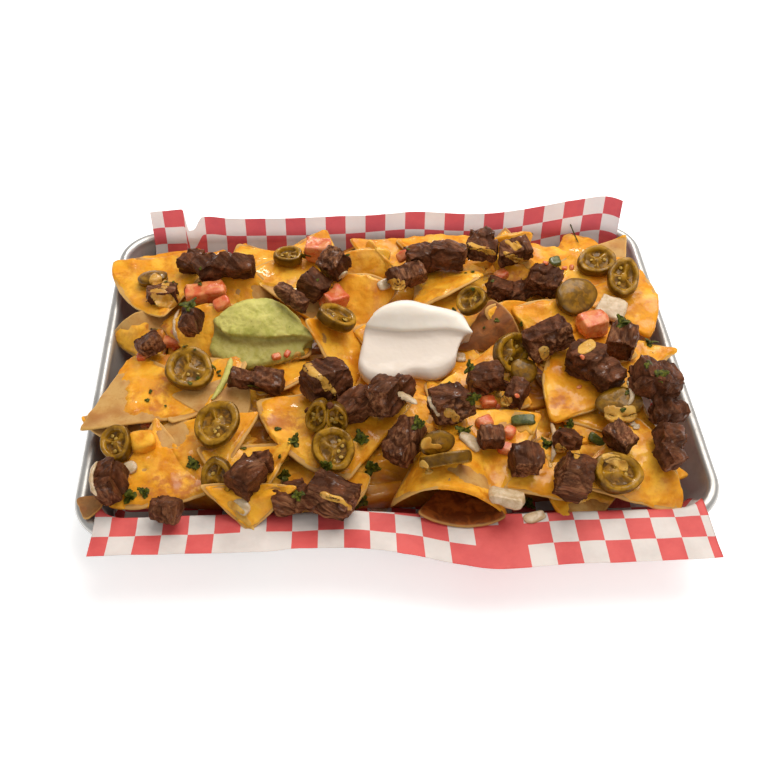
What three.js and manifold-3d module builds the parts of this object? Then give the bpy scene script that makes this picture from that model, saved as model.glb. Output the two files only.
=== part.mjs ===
// Loaded steak nachos on a paper-lined quarter sheet pan.
// Units are millimetres. +Z is up, +Y is the far long side of the pan, +X its right end.
// The origin is the middle of the pan's flat underside.
import * as THREE from 'three';
import { mergeVertices } from 'three/addons/utils/BufferGeometryUtils.js';
import Module from 'manifold-3d';

const wasm = await Module();
wasm.setup();

// ---------------------------------------------------------------- driving dimensions

const PAN = {
  length: 330,
  width: 241,
  height: 25,
  cornerRadius: 27,
  beadRadius: 3.2,
  floorThickness: 1.2,
  wallTopInset: 6.6,
  wallFootInset: 15.5,
  wallTopZ: 20.5,
  wallFootZ: 3.2,
  floorInset: 17.5,
  cornerSteps: 5,
};

const PAPER = {
  side: 304.8,
  thickness: 0.4,
  panGap: 0.7,
  floorGap: 0.4,
  flapFoldZ: 26.0,
  backTop: 38,
  backLean: 1.2,
  leftFlap: 16,
  rightFlap: 27.5,
  stepFrom: -35,
  stepTo: 45,
  columns: 12,
};

const CORE = {
  halfLength: 138,
  halfWidth: 97,
  cornerRadius: 32,
  underside: 2.4,
  shoulder: 20,
  crown: 27,
  highest: 33,
  chipCover: 3.4,
  steps: 30,
};

const CHIP = {
  thickness: 2.6,
  bulge: 0.13,
  flatSteps: 2,
  bowedSteps: 3,
  curledSteps: 5,
  bowedFrom: 4,
  curledFrom: 7,
};

const ARCH_HOLLOW = { x: 23, y: -112, z: 24, halfWidth: 27, halfDepth: 27, halfHeight: 14 };

const TOPPING = { gap: 0.35, liftStep: 0.4, mostLifts: 40, steepest: 34, mostShared: 0.25 };

const SLICE_STEPS = 10;

const BIT_SINK = 1.2;

// Two scoops. Profiles are [height share, radius share]; the front one has the step that the spoon left.
const GUACAMOLE = {
  x: -76,
  y: 7,
  halfX: 32,
  halfY: 24,
  base: 27,
  rise: 29,
  drift: 10,
  steps: 20,
  uneven: 0.05,
  tip: 0,
  phase: 2.2,
  levels: [0, 0.14, 0.28, 0.4, 0.48, 0.56, 0.66, 0.78, 0.88, 0.96],
  front: [[0, 0.9], [0.14, 1], [0.28, 0.93], [0.4, 0.76], [0.48, 0.74], [0.56, 0.86], [0.78, 0.68], [1, 0]],
  back: [[0, 0.9], [0.28, 1], [0.56, 0.92], [0.78, 0.7], [0.96, 0.3], [1, 0]],
};

const CREAM = {
  x: 11,
  y: -4,
  halfX: 30,
  halfY: 26,
  base: 26,
  rise: 32,
  drift: 12,
  steps: 22,
  uneven: 0.05,
  tip: 0.2,
  phase: 0.4,
  levels: [0, 0.12, 0.26, 0.4, 0.52, 0.6, 0.68, 0.8, 0.9, 0.97],
  front: [[0, 0.94], [0.12, 1], [0.26, 0.93], [0.52, 0.68], [0.6, 0.78], [0.8, 0.6], [0.97, 0.25], [1, 0]],
  back: [[0, 0.9], [0.26, 1], [0.52, 0.95], [0.8, 0.7], [0.97, 0.28], [1, 0]],
};

const COLOUR = {
  aluminium: 0xb9b6b1,
  paper: 0xd4434a,
  queso: 0xe9a437,
  guacamole: 0xb7bd62,
  cream: 0xf1e9df,
  steak: 0x5b3a33,
  jalapeno: 0x7c7420,
  tomato: 0xd8452b,
  onion: 0xe8ddc8,
};

// Chips that show, nearest corner order left to right.
// Each row: middle x, y, z; turn of the point; rise of the point; bank of its left side; side; bow of the edges.
const CHIPS = [
  // left end
  [-131, 60, 32, 32, 2, -4, 70, 3],
  [-140, 20, 23, -64, -28, 16, 42, -10],
  [-138, -37, 35, -139, 2, 0, 64, -3],
  [-113, -21, 33, 140, -2, 0, 62, 2],
  [-123, -82, 30, 97, 7, -3, 56, -3],
  [-97, -67, 33, 33, 6, 4, 54, -3],
  [-96, -39, 34, 176, 9, -4, 44, 2],
  [-105, 11, 33, -72, -24, 20, 46, -2],
  // back left
  [-88, 47, 34, -122, -24, -16, 40, -9],
  [-51, 52, 36, -73, -5, 0, 62, 2],
  [-74, 75, 31, 6, 6, 0, 50, 3],
  // front left, folded like a dish round its filling
  [-77, -91, 32, -88, -6, 0, 44, 8],
  [-58, -76, 27, 163, 0, -9, 46, -2],
  [-41, -92, 22, 134, 12, -14, 48, 2],
  // centre left
  [-44, -57, 37, 34, 1, 5, 60, -4],
  [-21, -62, 35, 17, 12, 5, 56, -3],
  [-26, -2, 32, -85, -14, -28, 52, 3],
  // standing chips behind the cream
  [-14, 38, 32, -101, -40, -12, 42, -4],
  [-12, 63, 32, -73, -48, 4, 40, -3],
  [-6, 70, 34, 110, 58, -30, 30, 0],
  [31, 52, 36, 110, -16, -12, 50, -3],
  [50, 37, 32, 55, 4, 3, 52, 2],
  [34, 84, 30, -88, 5, 0, 52, 3],
  // front middle
  [26, -89, 35, 80, -7, -2, 62, -27],
  [30, -107, 26, 85, -9, 1, 46, 3],
  [47, -80, 37, -89, -3, 1, 60, 4],
  [20, -62, 34, 17, -2, 2, 54, 2],
  [71, -95, 32, -160, 0, -6, 46, -5],
  // right of the cream
  [57, 8, 34, -162, -22, -30, 38, -9],
  [72, 12, 34, -84, -38, -6, 38, 4],
  [52, -28, 33, 74, 0, 0, 54, 2],
  [5, -2, 31, -94, -3, 0, 58, 2],
  // right
  [106, -38, 39, -13, -3, 4, 62, -4],
  [118, -54, 33, -49, -2, 3, 56, 2],
  [116, -94, 32, -165, 0, -14, 60, -4],
  [131, -86, 23, -4, -14, 6, 40, 2],
  [114, 4, 34, 81, 0, 0, 56, 2],
  [92, 7, 36, -92, -20, -6, 46, -3],
  [139, -12, 31, 10, 2, 3, 44, 2],
  // back right
  [129, 60, 35, 47, 11, 4, 58, -5],
  [136, 32, 35, 175, -3, -5, 56, -4],
  [79, 79, 32, -64, -62, 22, 34, -7],
  [76, 57, 36, -118, -25, -2, 32, -6],
  [100, 66, 33, -112, 0, 0, 48, 2],
  // lower layer at the rim
  [-128, 88, 22, 60, -8, 10, 44, 3],
  [-40, 84, 25, -40, -10, 4, 50, 2],
  [2, 88, 27, 150, 8, -5, 48, 3],
  [140, 4, 24, -60, 10, -14, 46, 3],
  [120, 86, 25, -150, -8, 8, 44, -3],
  [93, -104, 24, 20, -6, 8, 44, 2],
];

// Steak chunks by cluster. Each chunk: x, y; length, width, height; turn.
const STEAK = [
  [[-116, 68, 17, 14, 13, 60], [-105, 56, 17, 17, 14, 20], [-88, 54, 25, 14, 13, -10]],
  [[-131, 42, 20, 14, 10, 5]],
  [[-111, 8, 18, 12, 13, 80]],
  [[-134, -2, 16, 14, 12, 30]],
  [[-31, 50, 18, 16, 17, 50]],
  [[-43, 39, 18, 17, 15, -35]],
  [[-57, 14, 24, 9, 9, -38]],
  [[12, 47, 24, 14, 13, 25]],
  [[18, 75, 14, 12, 11, 0], [22, 63, 21, 18, 17, 15], [37, 60, 23, 17, 16, -10]],
  [[58, 67, 22, 16, 13, -12], [60, 78, 15, 13, 12, 20]],
  [[77, 62, 23, 14, 14, 10]],
  [[66, 39, 17, 13, 11, 0], [77, 39, 18, 13, 12, 30], [93, 41, 22, 18, 17, -20]],
  [[85, -15, 29, 18, 17, 12]],
  [[127, -14, 19, 18, 19, 70]],
  [[103, -32, 21, 19, 17, -25], [113, -43, 18, 17, 14, 40]],
  [[137, -49, 29, 21, 18, 8], [143, -63, 23, 12, 11, 15]],
  [[138, -83, 16, 14, 12, 0], [136, -94, 15, 15, 12, 25]],
  [[49, -37, 21, 16, 15, 10], [64, -47, 16, 13, 13, 60]],
  [[27, -62, 23, 18, 17, 20]],
  [[3, -49, 14, 12, 12, 50], [-7, -57, 21, 18, 18, 60], [-22, -57, 20, 17, 15, 20]],
  [[-37, -43, 25, 21, 19, 25]],
  [[-69, -30, 20, 14, 12, -10], [-83, -30, 13, 11, 10, 0]],
  [[2, -80, 26, 17, 15, 55]],
  [[46, -81, 14, 12, 11, 0]],
  [[62, -95, 17, 16, 14, 5]],
  [[84, -107, 23, 18, 18, 75]],
  [[86, -81, 14, 12, 11, 20]],
  [[112, -82, 18, 13, 13, -55]],
  [[-145, -95, 22, 14, 17, 85]],
  [[-77, -98, 20, 17, 17, 55], [-70, -87, 12, 11, 10, 0]],
  [[-116, -112, 17, 12, 12, -25]],
  [[-56, -106, 21, 17, 14, 10], [-35, -109, 26, 20, 17, -25]],
];

// Pickled jalapeno slices by piece. Each: x, y; across, deep, thick; turn; lean to the front; hole share.
const JALAPENOS = [
  [[-139, 59, 18, 15, 6, 10, -10, 0.0]],
  [[-110, -25, 28, 25, 6, 0, 24, 0.55]],
  [[-93, -66, 23, 27, 6, -20, 14, 0.6]],
  [[-145, -69, 18, 20, 6, 20, 18, 0.45]],
  [[-91, -97, 19, 22, 6, -15, 30, 0.3]],
  [[-58, 69, 18, 15, 7, 15, -5, 0.4]],
  [[-30, 10, 25, 19, 9, 10, -12, 0.4]],
  [[-34, -81, 23, 24, 6, 0, 8, 0.6]],
  [[-41, -65, 19, 12, 5, 80, 62, 0.5], [-32, -67, 19, 12, 5, 110, 58, 0.5]],
  [[47, 20, 18, 18, 6, 30, 16, 0.4]],
  [[128, 60, 25, 21, 6, 0, 4, 0.68]],
  [[139, 39, 19, 26, 7, -12, 24, 0.35]],
  [[108, 23, 28, 22, 7, 35, 30, 0.0]],
  [[65, -19, 26, 20, 7, 60, 38, 0.35], [73, -29, 13, 11, 5, 20, 10, 0.0]],
  [[117, -58, 25, 18, 6, 8, 4, 0.0]],
  [[107, -102, 28, 22, 10, -12, -6, 0.5]],
  [[21, -97, 27, 19, 9, -8, -4, 0.5], [19, -85, 15, 12, 6, 20, 20, 0.0]],
];

// Diced tomato and onion. Each: x, y; length, width, height; turn.
const TOMATOES = [
  [[-106, 40, 25, 12, 9, 8]],
  [[-40, 71, 16, 13, 12, -10]],
  [[-32, 33, 15, 14, 10, 30]],
  [[115, 5, 16, 14, 11, 15]],
];

const ONIONS = [
  [[129, 19, 17, 16, 5, -30]],
  [[50, -116, 18, 11, 6, -10]],
];

// Small bits fused to the chips they lie on. Each: x, y; length, width, height; turn.
const BITS = [
  [-7, 29, 17, 9, 12, 80],
  [-1, 61, 13, 12, 8, 20],
  [-121, 17, 20, 5, 5, 85],
  [-25, 58, 11, 8, 6, 0],
  [-12, -110, 11, 8, 5, 10],
  [49, -50, 11, 9, 6, 15],
  [46, -64, 11, 9, 6, 40],
  [57, -70, 9, 8, 7, 0],
  [104, 66, 10, 9, 9, 15],
];

// ---------------------------------------------------------------- numbers and noise

const rad = THREE.MathUtils.degToRad;
const ease = (from, to, value) => THREE.MathUtils.smoothstep(value, from, to);
const bell = (middle, width, value) => Math.exp(-(((value - middle) / width) ** 2));

function seededDraw(seed) {
  let state = seed;
  return () => {
    state = (state * 1664525 + 1013904223) % 4294967296;
    return state / 4294967296;
  };
}

// Smooth unevenness between -1 and 1 from a few crossing waves.
function ripple(x, y, scale, phase) {
  const u = x / scale;
  const v = y / scale;
  const wave = Math.sin(u * 1.7 + v * 0.9 + phase) + Math.sin(u * -0.8 + v * 1.9 + phase * 2.3);
  return (wave + Math.sin(u * 2.9 - v * 2.3 + phase * 0.7) * 0.6) / 2.6;
}

// ---------------------------------------------------------------- closed meshes and solids

function closedGeometry(points, triangles) {
  const geometry = new THREE.BufferGeometry();
  geometry.setAttribute('position', new THREE.Float32BufferAttribute(points.flat(), 3));
  geometry.setIndex(triangles.flat());
  return geometry;
}

function signedVolume(geometry) {
  const position = geometry.getAttribute('position');
  const index = geometry.getIndex();
  const corners = [new THREE.Vector3(), new THREE.Vector3(), new THREE.Vector3()];
  let sum = 0;
  for (let first = 0; first < index.count; first += 3) {
    corners.forEach((corner, k) => corner.fromBufferAttribute(position, index.getX(first + k)));
    sum += corners[0].dot(corners[1].clone().cross(corners[2])) / 6;
  }
  return sum;
}

// The same closed surface with every face pointing out.
function facingOut(geometry) {
  if (signedVolume(geometry) > 0) {
    return geometry;
  }
  const index = Array.from(geometry.getIndex().array);
  for (let first = 0; first < index.length; first += 3) {
    [index[first + 1], index[first + 2]] = [index[first + 2], index[first + 1]];
  }
  geometry.setIndex(index);
  return geometry;
}

// A skin through equal closed rings, shut at both ends by fans round the two hubs.
function ringSkin(rings, firstHub, lastHub) {
  const count = rings[0].length;
  const points = rings.flat();
  const triangles = [];
  for (let r = 0; r + 1 < rings.length; r += 1) {
    for (let k = 0; k < count; k += 1) {
      const a = r * count + k;
      const b = r * count + ((k + 1) % count);
      triangles.push([a, b, b + count], [a, b + count, a + count]);
    }
  }
  const last = (rings.length - 1) * count;
  points.push(firstHub, lastHub);
  for (let k = 0; k < count; k += 1) {
    const next = (k + 1) % count;
    triangles.push([points.length - 2, next, k], [points.length - 1, last + k, last + next]);
  }
  return facingOut(closedGeometry(points, triangles));
}

function solidOf(geometry) {
  const plain = geometry.clone();
  for (const name of Object.keys(plain.attributes)) {
    if (name !== 'position') {
      plain.deleteAttribute(name);
    }
  }
  const merged = mergeVertices(plain, 1e-4);
  return new wasm.Manifold(new wasm.Mesh({
    numProp: 3,
    vertProperties: new Float32Array(merged.getAttribute('position').array),
    triVerts: new Uint32Array(merged.getIndex().array),
  }));
}

function geometryOf(solid) {
  const mesh = solid.getMesh();
  const geometry = new THREE.BufferGeometry();
  geometry.setAttribute('position', new THREE.BufferAttribute(mesh.vertProperties, 3));
  geometry.setIndex(new THREE.BufferAttribute(mesh.triVerts, 1));
  return geometry;
}

// The biggest body of a solid; loose scraps and their sealed gaps go.
function mainBody(solid) {
  const bodies = solid.decompose().filter((body) => body.volume() > 0);
  return bodies.reduce((best, body) => (body.volume() > best.volume() ? body : best));
}

// ---------------------------------------------------------------- pan

// A rounded rectangle drawn inside (or, with a negative inset, outside) the pan's rim.
function rimRing(inset, z, steps = PAN.cornerSteps) {
  const radius = Math.max(PAN.cornerRadius - inset, 1);
  const cornerX = PAN.length / 2 - inset - radius;
  const cornerY = PAN.width / 2 - inset - radius;
  const ring = [];
  for (let quarter = 0; quarter < 4; quarter += 1) {
    const signX = quarter === 0 || quarter === 3 ? 1 : -1;
    const signY = quarter < 2 ? 1 : -1;
    for (let k = 0; k <= steps; k += 1) {
      const angle = ((quarter + k / steps) * Math.PI) / 2;
      ring.push([
        signX * cornerX + radius * Math.cos(angle),
        signY * cornerY + radius * Math.sin(angle),
        z,
      ]);
    }
  }
  return ring;
}

// Profile: flat underside, tapered outer wall, rolled bead, inner wall, floor.
function panProfile() {
  const beadZ = PAN.height - PAN.beadRadius;
  const profile = [[PAN.floorInset - 1, 0], [PAN.wallFootInset - 1, 1.6]];
  for (const angle of [-52, -90, -135, -180, -225, -270, -315, -355]) {
    profile.push([
      PAN.beadRadius * (1 + Math.cos(rad(angle))),
      beadZ + PAN.beadRadius * Math.sin(rad(angle)),
    ]);
  }
  profile.push([PAN.wallTopInset + 0.2, PAN.wallTopZ]);
  profile.push([PAN.wallFootInset, PAN.wallFootZ], [PAN.floorInset, PAN.floorThickness]);
  return profile;
}

function panGeometry() {
  const rings = panProfile().map(([inset, z]) => rimRing(inset, z));
  return ringSkin(rings, [7, 5, 0], [7, 5, PAN.floorThickness]);
}

// ---------------------------------------------------------------- paper liner

// Where the pan's long inner wall stands at x, for a line drawn inset from the rim.
function wallY(x, inset) {
  const cornerX = PAN.length / 2 - PAN.cornerRadius;
  const radius = PAN.cornerRadius - inset;
  const past = Math.min(Math.max(Math.abs(x) - cornerX, 0), radius * 0.98);
  return PAN.width / 2 - PAN.cornerRadius + Math.sqrt(radius ** 2 - past ** 2);
}

// Height of the standing back flap: a torn notch at the left, a slow rise to the right.
function backFlapTop(x) {
  const left = 8 * ease(-118, -126, x) - 9 * bell(-117, 4, x);
  const waves = 2.4 * bell(15, 26, x) - 0.6 * bell(-40, 30, x);
  return PAPER.backTop + left + waves + 12 * ease(62, 150, x);
}

// One line of the liner from the front edge to the back edge, as places for the column at u.
// Its left half reaches less far over the front rim and lifts off it.
function linerLine(u) {
  const standing = 1 - ease(PAPER.stepFrom, PAPER.stepTo, u);
  const side = Math.sign(u);
  const flap = THREE.MathUtils.lerp(PAPER.rightFlap, PAPER.leftFlap, standing);
  const line = [];
  for (const share of [1, 0.75, 0.5, 0.25]) {
    const out = flap * share;
    const lift = 0.16 * standing * out;
    const wave = 0.9 * share * ripple(u, 0, 24, 1.3);
    line.push([u + 0.02 * out * side, -118 - out * Math.sqrt(1 - (lift / out) ** 2), PAPER.flapFoldZ + lift + wave]);
  }
  const overBead = [[3.2, 25.8], [6.4, 24.4], [7.3, 22.3]];
  const downWall = [[7.4 + PAPER.panGap, 20.2], [15.0 + PAPER.panGap, 4.9], [18.4, 2.2]];
  const wallPlace = ([inset, z], sign) => {
    const x = side * Math.min(Math.abs(u), PAN.length / 2 - inset - 0.5);
    return [x, sign * (wallY(x, inset) - 0.25), z];
  };
  line.push(...[...overBead, ...downWall].map((place) => wallPlace(place, -1)));
  const floorZ = PAN.floorThickness + PAPER.floorGap + PAPER.thickness;
  const climb = Math.max(Math.abs(u) - 145.5, 0);
  const floorX = side * (Math.abs(u) - 0.55 * climb);
  for (const y of [-86, -30, 30, 86]) {
    line.push([floorX, y, floorZ + 0.86 * climb]);
  }
  line.push(...[...downWall].reverse().map((place) => wallPlace(place, 1)));
  const top = backFlapTop(u);
  for (const share of [0, 0.35, 0.7, 1]) {
    const z = THREE.MathUtils.lerp(24.6, top, share);
    const sway = 1.4 * share * ripple(u, 0, 30, 4.1);
    line.push([u, Math.min(wallY(u, 7.6), 113) - 0.4 + PAPER.backLean * share + sway, z]);
  }
  return line;
}

// A sheet between two offsets of the liner's lines, both faces split alike.
function linerGeometry(above, below) {
  const lines = [];
  for (let c = 0; c <= PAPER.columns; c += 1) {
    const u = (c / PAPER.columns - 0.5) * PAPER.side;
    lines.push(linerLine(u).map((place) => new THREE.Vector3(...place)));
  }
  const rows = lines[0].length;
  const faces = [above, below].map((offset) => lines.map((line, c) => line.map((place, r) => {
    const along = new THREE.Vector3().subVectors(line[Math.min(r + 1, rows - 1)], line[Math.max(r - 1, 0)]);
    const next = lines[Math.min(c + 1, PAPER.columns)][r];
    const crosswise = new THREE.Vector3().subVectors(next, lines[Math.max(c - 1, 0)][r]);
    const normal = crosswise.cross(along).normalize();
    return place.clone().addScaledVector(normal, offset).toArray();
  })));
  const points = [...faces[0].flat(), ...faces[1].flat()];
  const under = points.length / 2;
  const triangles = [];
  const at = (c, r) => c * rows + r;
  for (let c = 0; c < PAPER.columns; c += 1) {
    for (let r = 0; r + 1 < rows; r += 1) {
      const [p, q, s, t] = [at(c, r), at(c + 1, r), at(c + 1, r + 1), at(c, r + 1)];
      triangles.push([p, q, s], [p, s, t]);
      triangles.push([under + p, under + s, under + q], [under + p, under + t, under + s]);
    }
  }
  const rim = [];
  for (let c = 0; c < PAPER.columns; c += 1) rim.push(at(c, 0));
  for (let r = 0; r + 1 < rows; r += 1) rim.push(at(PAPER.columns, r));
  for (let c = PAPER.columns; c > 0; c -= 1) rim.push(at(c, rows - 1));
  for (let r = rows - 1; r > 0; r -= 1) rim.push(at(0, r));
  rim.forEach((p, k) => {
    const q = rim[(k + 1) % rim.length];
    triangles.push([p, under + p, under + q], [p, under + q, q]);
  });
  return facingOut(closedGeometry(points, triangles));
}

// ---------------------------------------------------------------- chips

// The packed heap: it reaches up to just under the chips that it carries.
function coreGeometry(chipSurface) {
  const bands = [
    [9, CORE.underside],
    [1, CORE.underside + 7],
    [3, CORE.shoulder - 4],
    [13, CORE.shoulder],
    [25, CORE.shoulder + 2],
    [40, CORE.crown - 3],
    [58, CORE.crown - 1],
    [76, CORE.crown],
  ];
  const rings = bands.map(([inset, z], band) => {
    const radius = Math.max(CORE.cornerRadius - inset * 0.4, 8);
    const halfX = CORE.halfLength - inset - radius;
    const halfY = CORE.halfWidth - inset - radius;
    const ring = [];
    for (let k = 0; k < CORE.steps; k += 1) {
      const angle = ((k + 0.5) / CORE.steps) * 2 * Math.PI;
      const x = Math.sign(Math.cos(angle)) * halfX + radius * Math.cos(angle);
      const y = Math.sign(Math.sin(angle)) * Math.max(halfY, 2) + radius * Math.sin(angle);
      const carried = Math.min(chipSurface(x, y) - CORE.chipCover, CORE.highest);
      ring.push([x, y, band < 2 ? z : Math.max(z, carried)]);
    }
    return ring;
  });
  return ringSkin(rings, [5, 3, CORE.underside], [0, 0, CORE.crown]);
}

// A wedge of a round tortilla: two straight sides from the point, one bulging side, bowed across.
function chipGeometry(side, bow) {
  const bowed = Math.abs(bow) >= CHIP.bowedFrom ? CHIP.bowedSteps : CHIP.flatSteps;
  const steps = Math.abs(bow) >= CHIP.curledFrom ? CHIP.curledSteps : bowed;
  const reach = (side * Math.sqrt(3)) / 2;
  const layers = [0.5, -0.5].map((half) => {
    const places = [];
    for (let r = 0; r <= steps; r += 1) {
      for (let c = 0; c <= r; c += 1) {
        const down = r / steps;
        const over = r === 0 ? 0.5 : c / r;
        const round = CHIP.bulge * side * down ** 2 * 4 * over * (1 - over);
        const y = (over - 0.5) * side * down;
        const x = reach * (2 / 3 - down) - round;
        const z = bow * ((2 * y) / side) ** 2 - bow * 0.3;
        places.push([x, y, z + half * CHIP.thickness]);
      }
    }
    return places;
  });
  const count = layers[0].length;
  const at = (r, c) => (r * (r + 1)) / 2 + c;
  const triangles = [];
  for (let r = 0; r < steps; r += 1) {
    for (let c = 0; c <= r; c += 1) {
      triangles.push([at(r, c), at(r + 1, c), at(r + 1, c + 1)]);
      if (c < r) triangles.push([at(r, c), at(r + 1, c + 1), at(r, c + 1)]);
    }
  }
  const under = triangles.map(([a, b, c]) => [a + count, c + count, b + count]);
  const rim = [];
  for (let r = 0; r < steps; r += 1) rim.push(at(r, 0));
  for (let c = 0; c < steps; c += 1) rim.push(at(steps, c));
  for (let r = steps; r > 0; r -= 1) rim.push(at(r, r));
  const wall = rim.flatMap((p, k) => {
    const q = rim[(k + 1) % rim.length];
    return [[p, p + count, q + count], [p, q + count, q]];
  });
  return facingOut(closedGeometry(layers.flat(), [...triangles, ...under, ...wall]));
}

function posed(geometry, place, turn, rise, bank) {
  const tilt = new THREE.Euler(rad(bank), rad(-rise), rad(turn), 'ZYX');
  const pose = new THREE.Matrix4().makeRotationFromEuler(tilt).setPosition(...place);
  return geometry.applyMatrix4(pose);
}

function chipSolid([x, y, z, turn, rise, bank, side, bow]) {
  return solidOf(posed(chipGeometry(side, bow), [x, y, z], turn, rise, bank));
}

// ---------------------------------------------------------------- space the food may fill

function foodSpace() {
  const clear = 0.45;
  const rings = [
    rimRing(PAN.floorInset + 1.8, 2.2),
    rimRing(PAN.wallTopInset + 2, PAN.wallTopZ + 1),
    rimRing(PAN.wallTopInset + 1, PAN.height + clear),
    rimRing(-20, PAN.height + clear),
    rimRing(-20, 90),
  ];
  const inside = solidOf(ringSkin(rings, [0, 0, 2.2], [0, 0, 90]));
  return inside.subtract(solidOf(linerGeometry(clear, -2.2)));
}

// ---------------------------------------------------------------- toppings

// A hand-cut lump: a box with softened corners and uneven faces.
function lumpGeometry(length, width, height, draw, softness, segments = 2) {
  const box = new THREE.BoxGeometry(1, 1, 1, segments, segments, segments);
  box.deleteAttribute('normal');
  box.deleteAttribute('uv');
  const lump = mergeVertices(box, 1e-4);
  const position = lump.getAttribute('position');
  const corner = new THREE.Vector3();
  for (let k = 0; k < position.count; k += 1) {
    corner.fromBufferAttribute(position, k);
    const pull = 1 - softness * Math.max(corner.length() - 0.5, 0);
    const size = [length, width, height];
    const moved = corner.toArray().map((value, axis) => value * pull * size[axis] * (0.9 + 0.2 * draw()));
    position.setXYZ(k, ...moved);
  }
  return lump;
}

// A slice of pepper: a ring wall with a thinner web across it, or a plain disc.
function sliceGeometry(thick, hole) {
  const half = thick / 2;
  const wall = [[1, -half], [0.92, half]];
  const web = half * 0.35;
  const profile = hole > 0
    ? [[0, -web], [hole, -half], ...wall, [hole, half], [0, web]]
    : [[0, -half], ...wall, [0, half]];
  const lathe = new THREE.LatheGeometry(profile.map(([r, z]) => new THREE.Vector2(r, z)), SLICE_STEPS);
  return lathe.rotateX(Math.PI / 2);
}

// Height of what lies below a place, straight down.
function makeSurface(meshes) {
  const caster = new THREE.Raycaster();
  const down = new THREE.Vector3(0, 0, -1);
  return (x, y) => {
    caster.set(new THREE.Vector3(x, y, 150), down);
    const hits = caster.intersectObjects(meshes, false);
    return hits.length > 0 ? hits[0].point.z : PAN.floorThickness;
  };
}

// The plane a topping of this radius leans on: the slope of the ground round it.
function groundNormal(surface, x, y, radius) {
  const slopeX = (surface(x + radius, y) - surface(x - radius, y)) / (2 * radius);
  const slopeY = (surface(x, y + radius) - surface(x, y - radius)) / (2 * radius);
  const steepest = Math.tan(rad(TOPPING.steepest));
  const slope = Math.max(Math.hypot(slopeX, slopeY), 1e-6);
  const share = Math.min(steepest / slope, 1) * 0.7;
  return new THREE.Vector3(-slopeX * share, -slopeY * share, 1).normalize();
}

// Turns a piece to the ground under it and lowers it until its lowest side touches.
function settle(geometry, surface, x, y, radius, turn, lean) {
  const up = new THREE.Vector3(0, 0, 1);
  const toGround = new THREE.Quaternion().setFromUnitVectors(up, groundNormal(surface, x, y, radius));
  const leaning = new THREE.Quaternion().setFromAxisAngle(new THREE.Vector3(1, 0, 0), rad(lean));
  const turning = new THREE.Quaternion().setFromAxisAngle(up, rad(turn));
  geometry.applyQuaternion(leaning.multiply(toGround).multiply(turning));
  geometry.translate(x, y, 0);
  const position = geometry.getAttribute('position');
  let lift = -Infinity;
  for (let k = 0; k < position.count; k += 1) {
    if (position.getZ(k) < 0) {
      lift = Math.max(lift, surface(position.getX(k), position.getY(k)) - position.getZ(k));
    }
  }
  return geometry.translate(0, 0, lift);
}

// Straight-line reading of a short profile of [height share, radius share] pairs.
function profileAt(profile, height) {
  const above = profile.findIndex(([level]) => level >= height);
  const [topLevel, topRadius] = profile[Math.max(above, 0)];
  const [lowLevel, lowRadius] = profile[Math.max(above - 1, 0)];
  const share = topLevel > lowLevel ? (height - lowLevel) / (topLevel - lowLevel) : 0;
  return THREE.MathUtils.lerp(lowRadius, topRadius, share);
}

// A spooned scoop: one profile towards the front, one round the back, and a top that sits further back.
function scoopGeometry(scoop) {
  const rings = scoop.levels.map((height) => {
    const ring = [];
    for (let k = 0; k < scoop.steps; k += 1) {
      const angle = (k / scoop.steps) * 2 * Math.PI;
      const [cos, sin] = [Math.cos(angle), Math.sin(angle)];
      const towardsFront = ease(0.25, -0.6, sin);
      const radius = THREE.MathUtils.lerp(
        profileAt(scoop.back, height),
        profileAt(scoop.front, height),
        towardsFront,
      );
      const uneven = 1 + scoop.uneven * ripple(cos * 20, sin * 20 + height * 12, 8, scoop.phase);
      const tip = scoop.tip * bell(0, 0.35, angle > Math.PI ? angle - 2 * Math.PI : angle) * bell(0.62, 0.16, height);
      ring.push([
        scoop.x + scoop.halfX * cos * (radius * uneven + tip),
        scoop.y + scoop.drift * height + scoop.halfY * sin * radius * uneven,
        scoop.base + scoop.rise * height,
      ]);
    }
    return ring;
  });
  const topHub = [scoop.x, scoop.y + scoop.drift, scoop.base + scoop.rise];
  return ringSkin(rings, [scoop.x, scoop.y, scoop.base], topHub);
}

// The same piece grown a little all round: the clearance that its neighbours keep.
function cleared(solid) {
  const skin = mergeVertices(geometryOf(solid), 1e-3);
  skin.computeVertexNormals();
  const position = skin.getAttribute('position');
  const normal = skin.getAttribute('normal');
  const reach = 1.5 * TOPPING.gap;
  for (let k = 0; k < position.count; k += 1) {
    position.setXYZ(
      k,
      position.getX(k) + reach * normal.getX(k),
      position.getY(k) + reach * normal.getY(k),
      position.getZ(k) + reach * normal.getZ(k),
    );
  }
  return solidOf(skin);
}

// ---------------------------------------------------------------- assembly

function finish(colour, roughness, metalness = 0) {
  return new THREE.MeshStandardMaterial({ color: colour, roughness, metalness });
}

const group = new THREE.Group();

function addNode(name, solid, material) {
  const mesh = new THREE.Mesh(geometryOf(solid), material);
  mesh.name = name;
  group.add(mesh);
}

addNode('pan', solidOf(panGeometry()), finish(COLOUR.aluminium, 0.38, 1));
addNode('paper_liner', solidOf(linerGeometry(0, -PAPER.thickness)), finish(COLOUR.paper, 0.8));

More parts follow.
